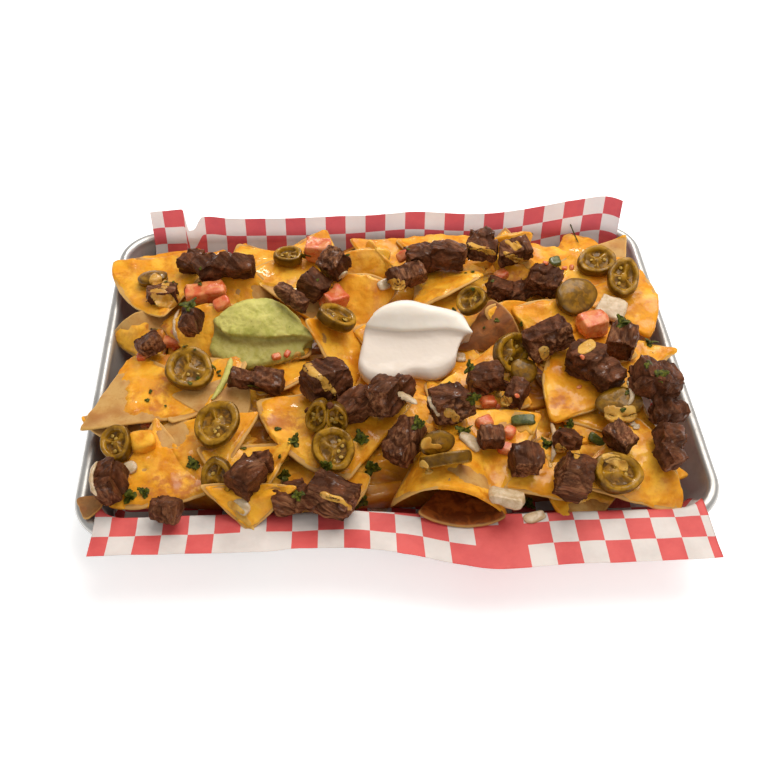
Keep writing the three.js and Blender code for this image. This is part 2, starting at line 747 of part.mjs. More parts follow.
const allowed = foodSpace();
const hollow = new THREE.SphereGeometry(1, 16, 10);
hollow.scale(ARCH_HOLLOW.halfWidth, ARCH_HOLLOW.halfDepth, ARCH_HOLLOW.halfHeight);
hollow.translate(ARCH_HOLLOW.x, ARCH_HOLLOW.y, ARCH_HOLLOW.z);
const chips = CHIPS.map(chipSolid).reduce((sum, chip) => sum.add(chip));
const chipMesh = new THREE.Mesh(geometryOf(chips), new THREE.MeshBasicMaterial());
const core = solidOf(coreGeometry(makeSurface([chipMesh]))).subtract(solidOf(hollow));
const heap = core.add(chips).intersect(allowed);
const scoops = [GUACAMOLE, CREAM].map((scoop) => solidOf(scoopGeometry(scoop)));
const bareHeap = mainBody(scoops.map(cleared).reduce((rest, scoop) => rest.subtract(scoop), heap));
addNode('guacamole', scoops[0], finish(COLOUR.guacamole, 0.55));
addNode('sour_cream', scoops[1], finish(COLOUR.cream, 0.35));

// What toppings can land on: the heap and scoops first, and the pile of earlier toppings.
const anySide = new THREE.MeshBasicMaterial({ side: THREE.DoubleSide });
const ground = [bareHeap, ...scoops].map((solid) => new THREE.Mesh(geometryOf(solid), anySide));
ground.push(new THREE.Mesh(linerGeometry(TOPPING.gap, -PAPER.thickness), anySide));
const pile = [];
const pileClearance = [];

function joined(solids) {
  return solids.reduce((sum, part) => sum.add(part));
}

function shares(solid, others) {
  return others.reduce((sum, other) => sum + solid.intersect(other).volume(), 0);
}

// Lays a topping on the ground, or on the pile if it would sink far into it, and trims what still crosses.
function addTopping(name, lay, material) {
  const low = joined(lay(makeSurface(ground)));
  const onPile = shares(low, pileClearance) > TOPPING.mostShared * low.volume();
  const parts = onPile ? lay(makeSurface([...ground, ...pile])) : lay(makeSurface(ground));
  let solid = joined(parts);
  let clearance = joined(parts.map(cleared));
  for (let tries = 0; tries < TOPPING.mostLifts && shares(clearance, [bareHeap, ...scoops]) > 0; tries += 1) {
    solid = solid.translate(0, 0, TOPPING.liftStep);
    clearance = clearance.translate(0, 0, TOPPING.liftStep);
  }
  solid = mainBody(pileClearance.reduce((rest, other) => rest.subtract(other), solid.intersect(allowed)));
  pileClearance.push(clearance);
  pile.push(new THREE.Mesh(geometryOf(solid), anySide));
  addNode(name, solid, material);
}

function twoDigits(number) {
  return String(number).padStart(2, '0');
}

function layLumps(rows, seed, softness, surface, segments = 2) {
  const draw = seededDraw(seed);
  return rows.map(([x, y, length, width, height, turn]) => {
    const lump = lumpGeometry(length, width, height, draw, softness, segments);
    return solidOf(settle(lump, surface, x, y, width / 2, turn, 6 * (draw() - 0.5)));
  });
}

function laySlices(rows, surface) {
  return rows.map(([x, y, across, deep, thick, turn, lean, hole]) => {
    const slice = sliceGeometry(thick, hole).scale(across / 2, deep / 2, 1);
    return solidOf(settle(slice, surface, x, y, across / 3, turn, lean));
  });
}

const kinds = [
  ['steak', STEAK, COLOUR.steak, 0.6, 0.42],
  ['tomato', TOMATOES, COLOUR.tomato, 0.3, 0.3],
  ['onion', ONIONS, COLOUR.onion, 0.3, 0.3],
];
for (const [kind, clusters, colour, roughness, softness] of kinds) {
  clusters.forEach((rows, k) => {
    const lay = (surface) => layLumps(rows, 17 * k + clusters.length, softness, surface);
    addTopping(`${kind}_${twoDigits(k + 1)}`, lay, finish(colour, roughness));
  });
}
JALAPENOS.forEach((rows, k) => {
  const lay = (surface) => laySlices(rows, surface);
  addTopping(`jalapeno_${twoDigits(k + 1)}`, lay, finish(COLOUR.jalapeno, 0.25));
});

// Small bits that miss every topping are fused to the heap, pressed in a little.
const heapSurface = makeSurface(ground.slice(0, 1));
const bits = BITS.map((row, k) => layLumps([row], 404 + k, 0.3, heapSurface, 1)[0].translate(0, 0, -BIT_SINK));
const freeBits = bits.filter((bit) => shares(cleared(bit), [...pileClearance, ...scoops]) === 0);
addNode(
  'chips',
  mainBody(freeBits.reduce((sum, bit) => sum.add(bit), bareHeap).intersect(allowed)),
  finish(COLOUR.queso, 0.35),
);

export default group;
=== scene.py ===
"""Loaded steak nachos on a checked paper liner in a quarter sheet pan.

Shapes are worked out in millimetres in the pan's own frame: +X to its right end, +Y to its back
side, +Z up, with the origin in the middle of the pan's flat underside. Meshes are made in metres.
"""
import logging
import math
from dataclasses import dataclass, field, replace
from enum import Enum

import bpy
import numpy as np
from mathutils import Euler, Matrix, Vector
from mathutils.bvhtree import BVHTree


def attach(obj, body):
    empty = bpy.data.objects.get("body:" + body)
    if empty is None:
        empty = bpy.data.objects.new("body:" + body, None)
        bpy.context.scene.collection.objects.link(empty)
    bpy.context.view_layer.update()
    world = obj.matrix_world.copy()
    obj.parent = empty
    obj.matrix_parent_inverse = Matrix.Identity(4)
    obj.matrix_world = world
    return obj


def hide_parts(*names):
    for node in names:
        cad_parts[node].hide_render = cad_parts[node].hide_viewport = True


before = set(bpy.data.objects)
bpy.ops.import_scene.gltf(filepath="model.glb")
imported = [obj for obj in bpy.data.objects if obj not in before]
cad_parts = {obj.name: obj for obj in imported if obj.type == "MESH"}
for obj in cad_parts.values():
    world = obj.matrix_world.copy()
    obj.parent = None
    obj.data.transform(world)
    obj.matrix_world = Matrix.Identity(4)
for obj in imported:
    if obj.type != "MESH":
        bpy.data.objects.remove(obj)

log = logging.getLogger("nachos")
MM = 0.001
Array = np.ndarray
Colour = tuple[float, float, float]
Spot = tuple[float, float, float]
Path = tuple[tuple[float, float], ...]
Rows = tuple[tuple[float, ...], ...]
Socket = bpy.types.NodeSocket
Material = bpy.types.Material


# ---- numbers and noise


def ease(low: float, high: float, value: Array) -> Array:
    """Smooth step: 0 at low, 1 at high, with level ends (low may be the larger)."""
    share = np.clip((value - low) / (high - low), 0, 1)
    return share * share * (3 - 2 * share)


def bell(middle: float, width: float, value: Array) -> Array:
    """Bell curve with its height of 1 at middle."""
    return np.exp(-(((value - middle) / width) ** 2))


def lattice(points: Array, scale: float, seed: int) -> Array:
    """Smooth noise from -1 to 1: random values on a cubic lattice, eased between its corners.

    Args:
        points: Places, shape (..., 3).
        scale: Size of one lattice cell in the points' unit.
        seed: Chooses the random values.

    Returns:
        One value for each point.
    """
    share = points / scale
    cell = np.floor(share).astype(np.int64)
    share = share - cell
    share = share * share * (3 - 2 * share)
    total = np.zeros(points.shape[:-1])
    for corner in range(8):
        step = np.array([corner & 1, (corner >> 1) & 1, (corner >> 2) & 1])
        mixed = (cell + step) * np.array([73856093, 19349663, 83492791])
        key = (mixed[..., 0] ^ mixed[..., 1] ^ mixed[..., 2] ^ (seed * 2654435761)) & 0xFFFFFFFF
        key = ((key ^ (key >> 13)) * 1274126177) & 0xFFFFFFFF
        value = ((key ^ (key >> 16)) & 0xFFFF) / 32767.5 - 1
        total += value * np.prod(np.where(step == 1, share, 1 - share), axis=-1)
    return total


def fractal(points: Array, scale: float, seed: int, octaves: int = 3) -> Array:
    """Lattice noise summed over octaves, each half as large and half as strong."""
    return sum(lattice(points, scale / 2**k, seed + k) / 2**k for k in range(octaves)) / 1.6


def flat(x: Array, y: Array, z: float) -> Array:
    """Places (x, y, z) as one array of shape (..., 3)."""
    return np.stack(np.broadcast_arrays(x, y, float(z)), axis=-1)


def unit(vectors: Array) -> Array:
    """The vectors of the last axis at a length of 1; a vector of no length stays as it is."""
    return vectors / np.maximum(np.linalg.norm(vectors, axis=-1, keepdims=True), 1e-12)


def smoothed(rows: Array) -> Array:
    """Rows with each but the ends drawn half-way to the mean of its two neighbours."""
    middle = 0.25 * rows[:-2] + 0.5 * rows[1:-1] + 0.25 * rows[2:]
    return np.concatenate([rows[:1], middle, rows[-1:]])


def numbered(name: str, count: int) -> tuple[str, ...]:
    """Names of a run of solids: name_01, name_02 and so on."""
    return tuple(f"{name}_{k + 1:02d}" for k in range(count))


# ---- meshes


@dataclass
class Shape:
    """A triangle mesh in millimetres, with named values at its points."""

    points: Array
    triangles: Array
    tones: dict[str, Array] = field(default_factory=dict)

    def normals(self) -> Array:
        """Area-weighted normals at the points."""
        a, b, c = (self.points[self.triangles[:, k]] for k in range(3))
        face = np.cross(b - a, c - a)
        total = np.zeros_like(self.points)
        for k in range(3):
            np.add.at(total, self.triangles[:, k], face)
        return unit(total)

    def pushed(self, push: Array) -> "Shape":
        """The same shape with its points moved along their normals."""
        self.points = self.points + self.normals() * push[:, None]
        return self

    def outward(self) -> "Shape":
        """The same shape with its faces pointing out: the signed volume is positive."""
        a, b, c = (self.points[self.triangles[:, k]] for k in range(3))
        if np.einsum("ij,ij->i", a, np.cross(b, c)).sum() < 0:
            self.triangles = self.triangles[:, ::-1].copy()
        return self

    def moved(self, axes: Array | Rows, place: Array | Spot) -> "Shape":
        """The shape turned so that its own axes become the rows of axes, then moved."""
        return Shape(self.points @ np.asarray(axes) + place, self.triangles, self.tones).outward()


def joined(shapes: list[Shape]) -> Shape:
    """Several shapes as one; a tone that a shape lacks is 0 there."""
    names = sorted({name for shape in shapes for name in shape.tones})
    counts = np.cumsum([0] + [len(shape.points) for shape in shapes])
    return Shape(
        np.concatenate([shape.points for shape in shapes]),
        np.concatenate([s.triangles + first for s, first in zip(shapes, counts)]),
        {
            name: np.concatenate([s.tones.get(name, np.zeros(len(s.points))) for s in shapes])
            for name in names
        },
    )


def grid_faces(rows: int, columns: int, around: bool) -> Array:
    """Triangles of a grid of points, two for each cell; around joins the last column to the first."""
    last = columns if around else columns - 1
    r, c = np.meshgrid(np.arange(rows - 1), np.arange(last), indexing="ij")
    a, b = (r * columns + c).ravel(), (r * columns + (c + 1) % columns).ravel()
    return np.concatenate([np.stack([a, b, b + columns], 1), np.stack([a, b + columns, a + columns], 1)])


def rim_of(rows: int, columns: int) -> Array:
    """Indices round the rim of a grid of points, in the order that closes its faces."""
    grid = np.arange(rows * columns).reshape(rows, columns)
    return np.concatenate([grid[:-1, 0], grid[-1, :-1], grid[:0:-1, -1], grid[0, :0:-1]])


def refined(rows: Array, count: int, passes: int) -> Array:
    """Rows drawn out to count rows by straight shares, then each moved towards its neighbours' mean."""
    at = np.linspace(0, len(rows) - 1, count)
    low = np.minimum(at.astype(int), len(rows) - 2)
    share = (at - low).reshape(-1, *[1] * (rows.ndim - 1))
    drawn = rows[low] * (1 - share) + rows[low + 1] * share
    for _ in range(passes):
        drawn = smoothed(drawn)
    return drawn


def tube(rings: Array, tones: dict[str, Array] | None = None) -> Shape:
    """A skin through closed rings, shape (rings, steps, 3), shut at both ends at the rings' middles."""
    count, steps = rings.shape[:2]
    hubs = np.stack([rings[0].mean(0), rings[-1].mean(0)])
    points = np.concatenate([rings.reshape(-1, 3), hubs])
    k, size = np.arange(steps), count * steps
    after, last = (k + 1) % steps, size - steps
    caps = [
        np.stack([0 * k + size, after, k], 1),
        np.stack([0 * k + size + 1, last + k, last + after], 1),
    ]
    filled = {
        name: np.concatenate([value.ravel(), value[0].mean(keepdims=True), value[-1].mean(keepdims=True)])
        for name, value in (tones or {}).items()
    }
    return Shape(points, np.concatenate([grid_faces(count, steps, True), *caps]), filled).outward()


def lump(length: float, width: float, height: float, square: float, rings: int = 9,
         steps: int = 16) -> Shape:
    """A sphere whose sine and cosine are drawn towards a box by the power square; 1 leaves it round."""
    polar = (np.arange(rings) + 0.5) / rings * math.pi
    around = np.arange(steps) / steps * 2 * math.pi

    def boxed(value: Array) -> Array:
        return np.sign(value) * np.abs(value) ** square

    x = boxed(np.sin(polar))[:, None] * boxed(np.cos(around))
    y = boxed(np.sin(polar))[:, None] * boxed(np.sin(around))
    z = np.broadcast_to(boxed(np.cos(polar))[:, None], x.shape)
    return tube(np.stack([x * length / 2, y * width / 2, z * height / 2], -1))


def cord_path(path: Array, widths: Array, heights: Array, up: Array, steps: int = 10) -> Shape:
    """A rounded strip along a path: an ellipse, width across and height up, at each of its points.

    Args:
        path: Middle line, shape (n, 3).
        widths: Half-widths at the points.
        heights: Half-heights at the points.
        up: Upward normals at the points.
        steps: Sides of the ellipse.

    Returns:
        The closed strip.
    """
    along = np.gradient(path, axis=0)
    side = unit(np.cross(along, up))
    angle = np.arange(steps) / steps * 2 * math.pi
    rings = (
        path[:, None]
        + side[:, None] * (np.cos(angle) * widths[:, None])[..., None]
        + up[:, None] * (np.sin(angle) * heights[:, None])[..., None]
    )
    return tube(rings)


def linked(name: str, data: bpy.types.ID) -> bpy.types.Object:
    """A new object of the scene that holds the data."""
    made = bpy.data.objects.new(name, data)
    bpy.context.scene.collection.objects.link(made)
    return made


def put(name: str, shape: Shape, finish: "Finish", nodes: tuple[str, ...] = (),
        uv: Array | None = None) -> None:
    """Makes the object for a shape, rides it on the body and lets it stand for its nodes.

    Args:
        name: The piece's name.
        shape: The mesh in millimetres.
        finish: What its surface is made of.
        nodes: The solids that the piece stands for.
        uv: Texture places for each corner of each triangle, shape (triangles * 3, 2).
    """
    mesh = bpy.data.meshes.new(name)
    count = len(shape.triangles)
    mesh.vertices.add(len(shape.points))
    mesh.vertices.foreach_set("co", (shape.points * MM).astype(np.float32).ravel())
    mesh.loops.add(count * 3)
    mesh.loops.foreach_set("vertex_index", shape.triangles.astype(np.int32).ravel())
    mesh.polygons.add(count)
    mesh.polygons.foreach_set("loop_start", np.arange(0, count * 3, 3, dtype=np.int32))
    mesh.polygons.foreach_set("use_smooth", np.ones(count, dtype=bool))
    mesh.update(calc_edges=True)
    for tone, values in shape.tones.items():
        layer = mesh.attributes.new(tone, "FLOAT", "POINT")
        layer.data.foreach_set("value", values.astype(np.float32))
    if uv is not None:
        layer = mesh.uv_layers.new(name="print")
        layer.data.foreach_set("uv", uv.astype(np.float32).ravel())
    mesh.validate()
    piece = linked(name, mesh)
    mesh.materials.append(finish.material())
    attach(piece, "root")
    if nodes:
        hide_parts(*nodes)
    log.info("%s: %d triangles", name, count)


def shape_of(mesh: bpy.types.Mesh) -> Shape:
    """The points and triangles of a mesh as a shape in millimetres."""
    points = np.zeros(len(mesh.vertices) * 3)
    mesh.vertices.foreach_get("co", points)
    mesh.calc_loop_triangles()
    triangles = np.zeros(len(mesh.loop_triangles) * 3, np.int32)
    mesh.loop_triangles.foreach_get("vertices", triangles)
    return Shape(points.reshape(-1, 3) / MM, triangles.reshape(-1, 3))


def node_shape(name: str) -> Shape:
    """The solid of a node as a shape, with its shared points merged."""
    shape = shape_of(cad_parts[name].data)
    points, index = np.unique(np.round(shape.points, 3), axis=0, return_inverse=True)
    return Shape(points, index.ravel()[shape.triangles])


def remeshed(shape: Shape, voxel: float, smoothing: int) -> Shape:
    """The shape's skin rebuilt in even cells of the voxel's size, then smoothed."""
    mesh = bpy.data.meshes.new("work")
    mesh.from_pydata((shape.points * MM).tolist(), [], shape.triangles.tolist())
    work = linked("work", mesh)
    cells = work.modifiers.new("cells", "REMESH")
    cells.mode = "VOXEL"
    cells.voxel_size = voxel * MM
    soften = work.modifiers.new("soften", "SMOOTH")
    soften.iterations = smoothing
    result = shape_of(work.evaluated_get(bpy.context.evaluated_depsgraph_get()).to_mesh())
    bpy.data.objects.remove(work)
    bpy.data.meshes.remove(mesh)
    return result.outward()


# ---- finishes


class Graph:
    """A small maker of node materials round one Principled shader."""

    def __init__(self, name: str) -> None:
        """Starts a material of that name."""
        self.surface = bpy.data.materials.new(name)
        self.surface.use_nodes = True
        self.tree = self.surface.node_tree
        self.shader = self.tree.nodes["Principled BSDF"]
        self.place = self.node("TexCoord").outputs["Object"]

    def node(self, kind: str, **settings: object) -> bpy.types.Node:
        """Adds a shader node of that kind and sets its properties."""
        made = self.tree.nodes.new(f"ShaderNode{kind}")
        for key, value in settings.items():
            setattr(made, key, value)
        return made

    def feed(self, socket: Socket, value: object) -> None:
        """Links another node's output to the socket, or sets the socket's value."""
        if isinstance(value, Socket):
            self.tree.links.new(value, socket)
        else:
            socket.default_value = (*value, 1) if socket.type == "RGBA" else value

    def fed(self, kind: str, **values: object) -> bpy.types.Node:
        """A node with its sockets fed by name, underscores standing for spaces."""
        made = self.node(kind)
        for key, value in values.items():
            self.feed(made.inputs[key.replace("_", " ")], value)
        return made

    def noise(self, size: float, detail: float = 3.0, rough: float = 0.55, bend: float = 0.0,
              stretch: Colour | None = None, place: Socket | None = None) -> Socket:
        """Noise from 0 to 1 whose features are about size millimetres."""
        place = place or self.place
        if stretch:
            place = self.fed("Mapping", Vector=place, Scale=stretch).outputs["Vector"]
        made = self.fed("TexNoise", Vector=place, Scale=1 / (size * MM), Detail=detail, Roughness=rough)
        self.feed(made.inputs["Distortion"], bend)
        return made.outputs["Fac"]

    def ramp(self, factor: Socket, low: float, high: float) -> Socket:
        """Maps the range low to high onto 0 to 1, clamped and eased."""
        made = self.fed("MapRange", Value=factor, From_Min=low, From_Max=high)
        made.interpolation_type = "SMOOTHSTEP"
        return made.outputs["Result"]

    def cloud(self, low: float, high: float, *settings: float) -> Socket:
        """Noise of those settings, its range low to high mapped onto 0 to 1."""
        return self.ramp(self.noise(*settings), low, high)

    def maths(self, operation: str, *values: object) -> Socket:
        """The result of a maths node for its values in order."""
        made = self.node("Math", operation=operation)
        for socket, value in zip(made.inputs, values):
            self.feed(socket, value)
        return made.outputs[0]

    def scaled(self, value: Socket, factor: float, shift: float = 0.0) -> Socket:
        """The value times a factor, plus a shift."""
        return self.maths("MULTIPLY_ADD", value, factor, shift)

    def times(self, first: Socket, second: Socket) -> Socket:
        """The product of two values."""
        return self.maths("MULTIPLY", first, second)

    def plus(self, first: Socket, second: Socket) -> Socket:
        """The sum of two values."""
        return self.maths("ADD", first, second)

    def blend(self, factor: object, first: object, second: object, share: object = None) -> Socket:
        """Colour that goes from first to second as factor, times the share if given, goes from 0 to 1."""
        made = self.node("Mix", data_type="RGBA")
        self.feed(made.inputs["Factor"], factor if share is None else self.scaled(factor, share))
        for socket, colour in zip([s for s in made.inputs if s.type == "RGBA"], (first, second)):
            self.feed(socket, colour)
        return next(s for s in made.outputs if s.type == "RGBA")

    def tone(self, name: str) -> Socket:
        """The value that the mesh holds at its points under that name."""
        return self.node("Attribute", attribute_name=name).outputs["Fac"]

    def grain(self) -> Socket:
        """The place along and across the fibres that the mesh holds at its points."""
        parts = {axis: self.tone(f"grain_{axis}") for axis in "XYZ"}
        return self.fed("CombineXYZ", **parts).outputs["Vector"]

    def bump(self, height: Socket, depth: float, strength: float = 1.0,
             under: Socket | None = None) -> Socket:
        """Relief of depth millimetres on top of another relief."""
        made = self.fed("Bump", Strength=strength, Distance=depth * MM, Height=height)
        if under:
            self.feed(made.inputs["Normal"], under)
        return made.outputs["Normal"]

    def dress(self, **values: object) -> Material:
        """Feeds the shader's sockets by name, underscores standing for spaces."""
        for key, value in values.items():
            self.feed(self.shader.inputs[key.replace("_", " ")], value)
        return self.surface


def soft(weight: float, reach: Colour, scale: float) -> dict[str, object]:
    """Values for light that sinks in: its share, its reach in red, green and blue, and its scale."""
    return {"Subsurface_Weight": weight, "Subsurface_Radius": reach, "Subsurface_Scale": scale}


@dataclass(frozen=True)
class Finish:
    """A surface finish; each kind builds its own node material once."""

    name: str

    def material(self) -> Material:
        """The finish's material, made the first time that it is asked for."""
        return bpy.data.materials.get(self.name) or self.build(Graph(self.name))

    def build(self, g: Graph) -> Material:
        """Fills the node graph."""
        raise NotImplementedError


@dataclass(frozen=True)
class RolledAluminium(Finish):
    """Satin sheet metal with fine rolling marks and hand wear."""

    metal: Colour = (0.50, 0.485, 0.465)
    worn: Colour = (0.34, 0.325, 0.305)

    def build(self, g: Graph) -> Material:
        """Stretched noise makes the rolling marks, broad noise the wear."""
        wear = g.cloud(0.42, 0.72, 34, 5, 0.65)
        marks = g.noise(2.4, 3, 0.6, stretch=(0.06, 1, 1))
        rough = g.plus(g.scaled(wear, 0.16, 0.27), g.scaled(marks, 0.12))
        return g.dress(
            Base_Color=g.blend(wear, self.metal, self.worn),
            Metallic=0.7,
            Roughness=rough,
            Normal=g.bump(marks, 0.05, 0.5, g.bump(g.noise(9, 3), 0.12, 0.35)),
        )


@dataclass(frozen=True)
class CheckedPaper(Finish):
    """Greaseproof paper printed with plain squares, a little crumpled."""

    red: Colour = (0.70, 0.095, 0.086)
    deep_red: Colour = (0.61, 0.066, 0.064)
    white: Colour = (0.73, 0.66, 0.62)
    grey: Colour = (0.64, 0.575, 0.535)
    through_red: Colour = (0.50, 0.12, 0.16)
    through_white: Colour = (0.80, 0.80, 0.82)
    red_cells: tuple[tuple[int, int], ...] = ((15, 0), (16, 1))
    white_cells: tuple[tuple[int, int], ...] = ((6, 0),)

    def build(self, g: Graph) -> Material:
        """One unit of the texture is one square; noise mottles them and the lit tone drives a painted glow,
        emission standing in for light let through the paper.
        """
        print_place = g.node("UVMap", uv_map="print").outputs["UV"]
        checks = g.fed("TexChecker", Vector=print_place, Scale=1.0)
        mottle = g.cloud(0.35, 0.7, 16, 4, 0.6)
        red = g.blend(mottle, self.red, self.deep_red)
        white = g.blend(mottle, self.white, self.grey)
        grease = g.cloud(0.70, 0.76, 21, 2, 0.5, 0.8)
        colour = g.blend(checks.outputs["Fac"], red, white)
        for cells, plain in ((self.red_cells, red), (self.white_cells, white)):
            for column, row in cells:
                colour = g.blend(self.in_cell(g, print_place, column, row), colour, plain)
        greasy = g.blend(grease, colour, (0.62, 0.40, 0.25), 0.35)
        fibres = g.noise(1.1, 4, 0.7)
        return g.dress(
            Base_Color=greasy,
            Roughness=g.scaled(fibres, 0.2, 0.52),
            Normal=g.bump(g.noise(11, 3, 0.6, 0.5), 0.5, 0.3, g.bump(fibres, 0.06, 0.4)),
            **soft(0.08, (1.0, 0.5, 0.4), 0.0008),
            # painted glow: emission in the check colours, strong where the lit tone is high
            Emission_Color=g.blend(checks.outputs["Fac"], self.through_red, self.through_white),
            Emission_Strength=g.scaled(g.tone("lit"), 0.41),
        )

    def in_cell(self, g: Graph, place: Socket, column: int, row: int) -> Socket:
        """1 inside one square of the print, where two squares of a colour run together, else 0."""
        axes = zip(g.fed("SeparateXYZ", Vector=place).outputs, (column, row))
        return g.times(*(g.maths("COMPARE", socket, number + 0.5, 0.5) for socket, number in axes))


@dataclass(frozen=True)
class FriedCorn(Finish):
    """Fried corn tortilla: tan, freckled, browner at its blisters, darker underneath and in the gaps from
    soaking and painted shade.
    """

    pale: Colour = (0.58, 0.33, 0.10)
    tan: Colour = (0.50, 0.235, 0.052)
    toast: Colour = (0.36, 0.125, 0.022)
    soaked: Colour = (0.13, 0.020, 0.002)
    oily: Colour = (0.30, 0.068, 0.008)
    edge: Colour = (0.76, 0.44, 0.12)

    def build(self, g: Graph) -> Material:
        """Noise freckles the corn and the toast tone browns it; the deep tone adds painted shade in the gaps,
        and the under tone darkens it partly as soaking and partly as painted shade.
        """
        freckle = g.cloud(0.52, 0.72, 1.5, 4, 0.65)
        patch = g.cloud(0.38, 0.68, 9, 3, 0.6)
        corn = g.blend(patch, self.pale, self.tan)
        corn = g.blend(freckle, corn, self.toast, 0.4)
        corn = g.blend(g.tone("toast"), corn, self.toast, 0.75)
        corn = g.blend(g.tone("rim"), corn, self.edge, 0.8)
        # soaked, oily corn that also stands for painted shade in the gaps and underneath
        oil = g.blend(g.cloud(0.40, 0.62, 7, 4, 0.62, 0.6), self.soaked, self.oily)
        # painted shade in the gaps between chips
        corn = g.blend(g.tone("deep"), corn, oil, 0.85)
        # underneath and on chips set under: soaking and painted shade
        corn = g.blend(g.tone("under"), corn, oil)
        grain = g.noise(0.8, 4, 0.7)
        return g.dress(
            Base_Color=corn,
            Roughness=g.scaled(grain, 0.25, 0.38),
            Normal=g.bump(grain, 0.14, 0.6, g.bump(g.noise(4.5, 3), 0.5, 0.45)),
            Specular_IOR_Level=0.25,
        )


@dataclass(frozen=True)
class MeltedQueso(Finish):
    """Melted cheese: golden and glossy, paler where thin, salmon where the chip shows through, with painted
    shade where it lies deep.
    """

    gold: Colour = (0.80, 0.318, 0.014)
    light: Colour = (0.93, 0.47, 0.045)
    amber: Colour = (0.58, 0.165, 0.005)
    salmon: Colour = (0.46, 0.125, 0.025)
    # deep: painted shade colour for queso low in the gaps
    deep: Colour = (0.25, 0.05, 0.004)
    rough: float = 0.30
    patchy: float = 0.75

    def build(self, g: Graph) -> Material:
        """Three noises mix the tints; the thin tone lets the toasted chip through at the edges; the deep tone
        paints shade into the gaps.
        """
        broad = g.cloud(0.40, 0.62, 16, 3, 0.5, 0.4)
        clouds = g.cloud(0.44, 0.68, 10, 4, 0.6, 0.3)
        stain = g.cloud(0.60, 0.72, 14, 5, 0.66, 0.4)
        colour = g.blend(broad, self.gold, self.light)
        colour = g.blend(clouds, colour, self.amber, self.patchy)
        colour = g.blend(stain, colour, self.salmon, 0.7 * self.patchy)
        smear = g.ramp(g.plus(g.scaled(g.tone("salsa"), 0.3), g.noise(6, 5, 0.62)), 0.64, 0.92)
        colour = g.blend(smear, colour, self.salmon, 0.85)
        colour = g.blend(g.tone("thin"), colour, self.light, 0.6)
        freckle = g.cloud(0.56, 0.74, 1.3, 4, 0.7)
        colour = g.blend(freckle, colour, self.amber, 0.35)
        # painted shade: darker where the deep tone marks the gaps between chips
        colour = g.blend(g.tone("deep"), colour, self.deep, 0.8)
        wet = g.noise(6, 2, 0.5)
        fine = g.bump(g.noise(0.9, 3, 0.6), 0.07, 0.6)
        return g.dress(
            Base_Color=colour,
            Roughness=g.plus(g.scaled(wet, 0.3, self.rough - 0.1), g.scaled(stain, 0.12)),
            Normal=g.bump(g.noise(3.0, 3, 0.6), 0.45, 0.7, g.bump(g.noise(8, 2), 1.4, 0.6, fine)),
            **soft(0.12, (1.0, 0.45, 0.1), 0.0018),
            Specular_IOR_Level=0.18,
            Specular_Tint=(1.0, 0.85, 0.6),
            Coat_Weight=g.scaled(g.cloud(0.46, 0.62, 11, 3), 0.7),
            Coat_Roughness=0.06,
        )


@dataclass(frozen=True)
class GrilledSteak(Finish):
    """Seared beef: dark brown crust, paler purplish grain where cut, a little moist."""

    crust: Colour = (0.046, 0.0125, 0.0042)
    meat: Colour = (0.150, 0.043, 0.015)
    pale: Colour = (0.35, 0.150, 0.066)

    def build(self, g: Graph) -> Material:
        """Streaks follow the grain; the fresh tone pales cut faces; the ridge tone paints highlights on
        raised fibres and the groove tone paints shade into the seams.
        """
        fibres = g.grain()
        strand = g.noise(1.9, 4, 0.62, place=fibres)
        thread = g.noise(0.75, 3, 0.6, place=fibres)
        patch = g.cloud(0.38, 0.66, 8, 4, 0.6, 0.5)
        speck = g.cloud(0.50, 0.76, 1.2, 4, 0.7)
        colour = g.blend(patch, self.crust, self.meat)
        lit = g.times(g.ramp(strand, 0.40, 0.62), g.scaled(g.tone("fresh"), 0.8, 0.14))
        colour = g.blend(lit, colour, self.pale)
        # painted highlight: pale specks on the raised ridges that the ridge tone marks
        colour = g.blend(g.times(g.tone("ridge"), speck), colour, self.pale, 0.8)
        colour = g.blend(g.ramp(thread, 0.56, 0.40), colour, self.crust, 0.45)
        # painted shade: crust colour in the seams and the low parts between bundles
        colour = g.blend(g.tone("groove"), colour, self.crust, 0.9)
        lumps = g.bump(g.noise(2.6, 4, 0.65), 0.5, 0.5)
        return g.dress(
            Base_Color=colour,
            Specular_IOR_Level=0.14,
            Specular_Tint=(1.0, 0.72, 0.55),
            Roughness=g.scaled(g.noise(3, 3), 0.5, 0.22),
            Coat_Weight=g.scaled(g.cloud(0.58, 0.64, 4, 4), 0.6),
            Coat_Roughness=0.14,
            Normal=g.bump(thread, 0.25, 0.7, g.bump(strand, 0.5, 0.7, lumps)),
            **soft(0.04, (1.0, 0.3, 0.2), 0.001),
        )


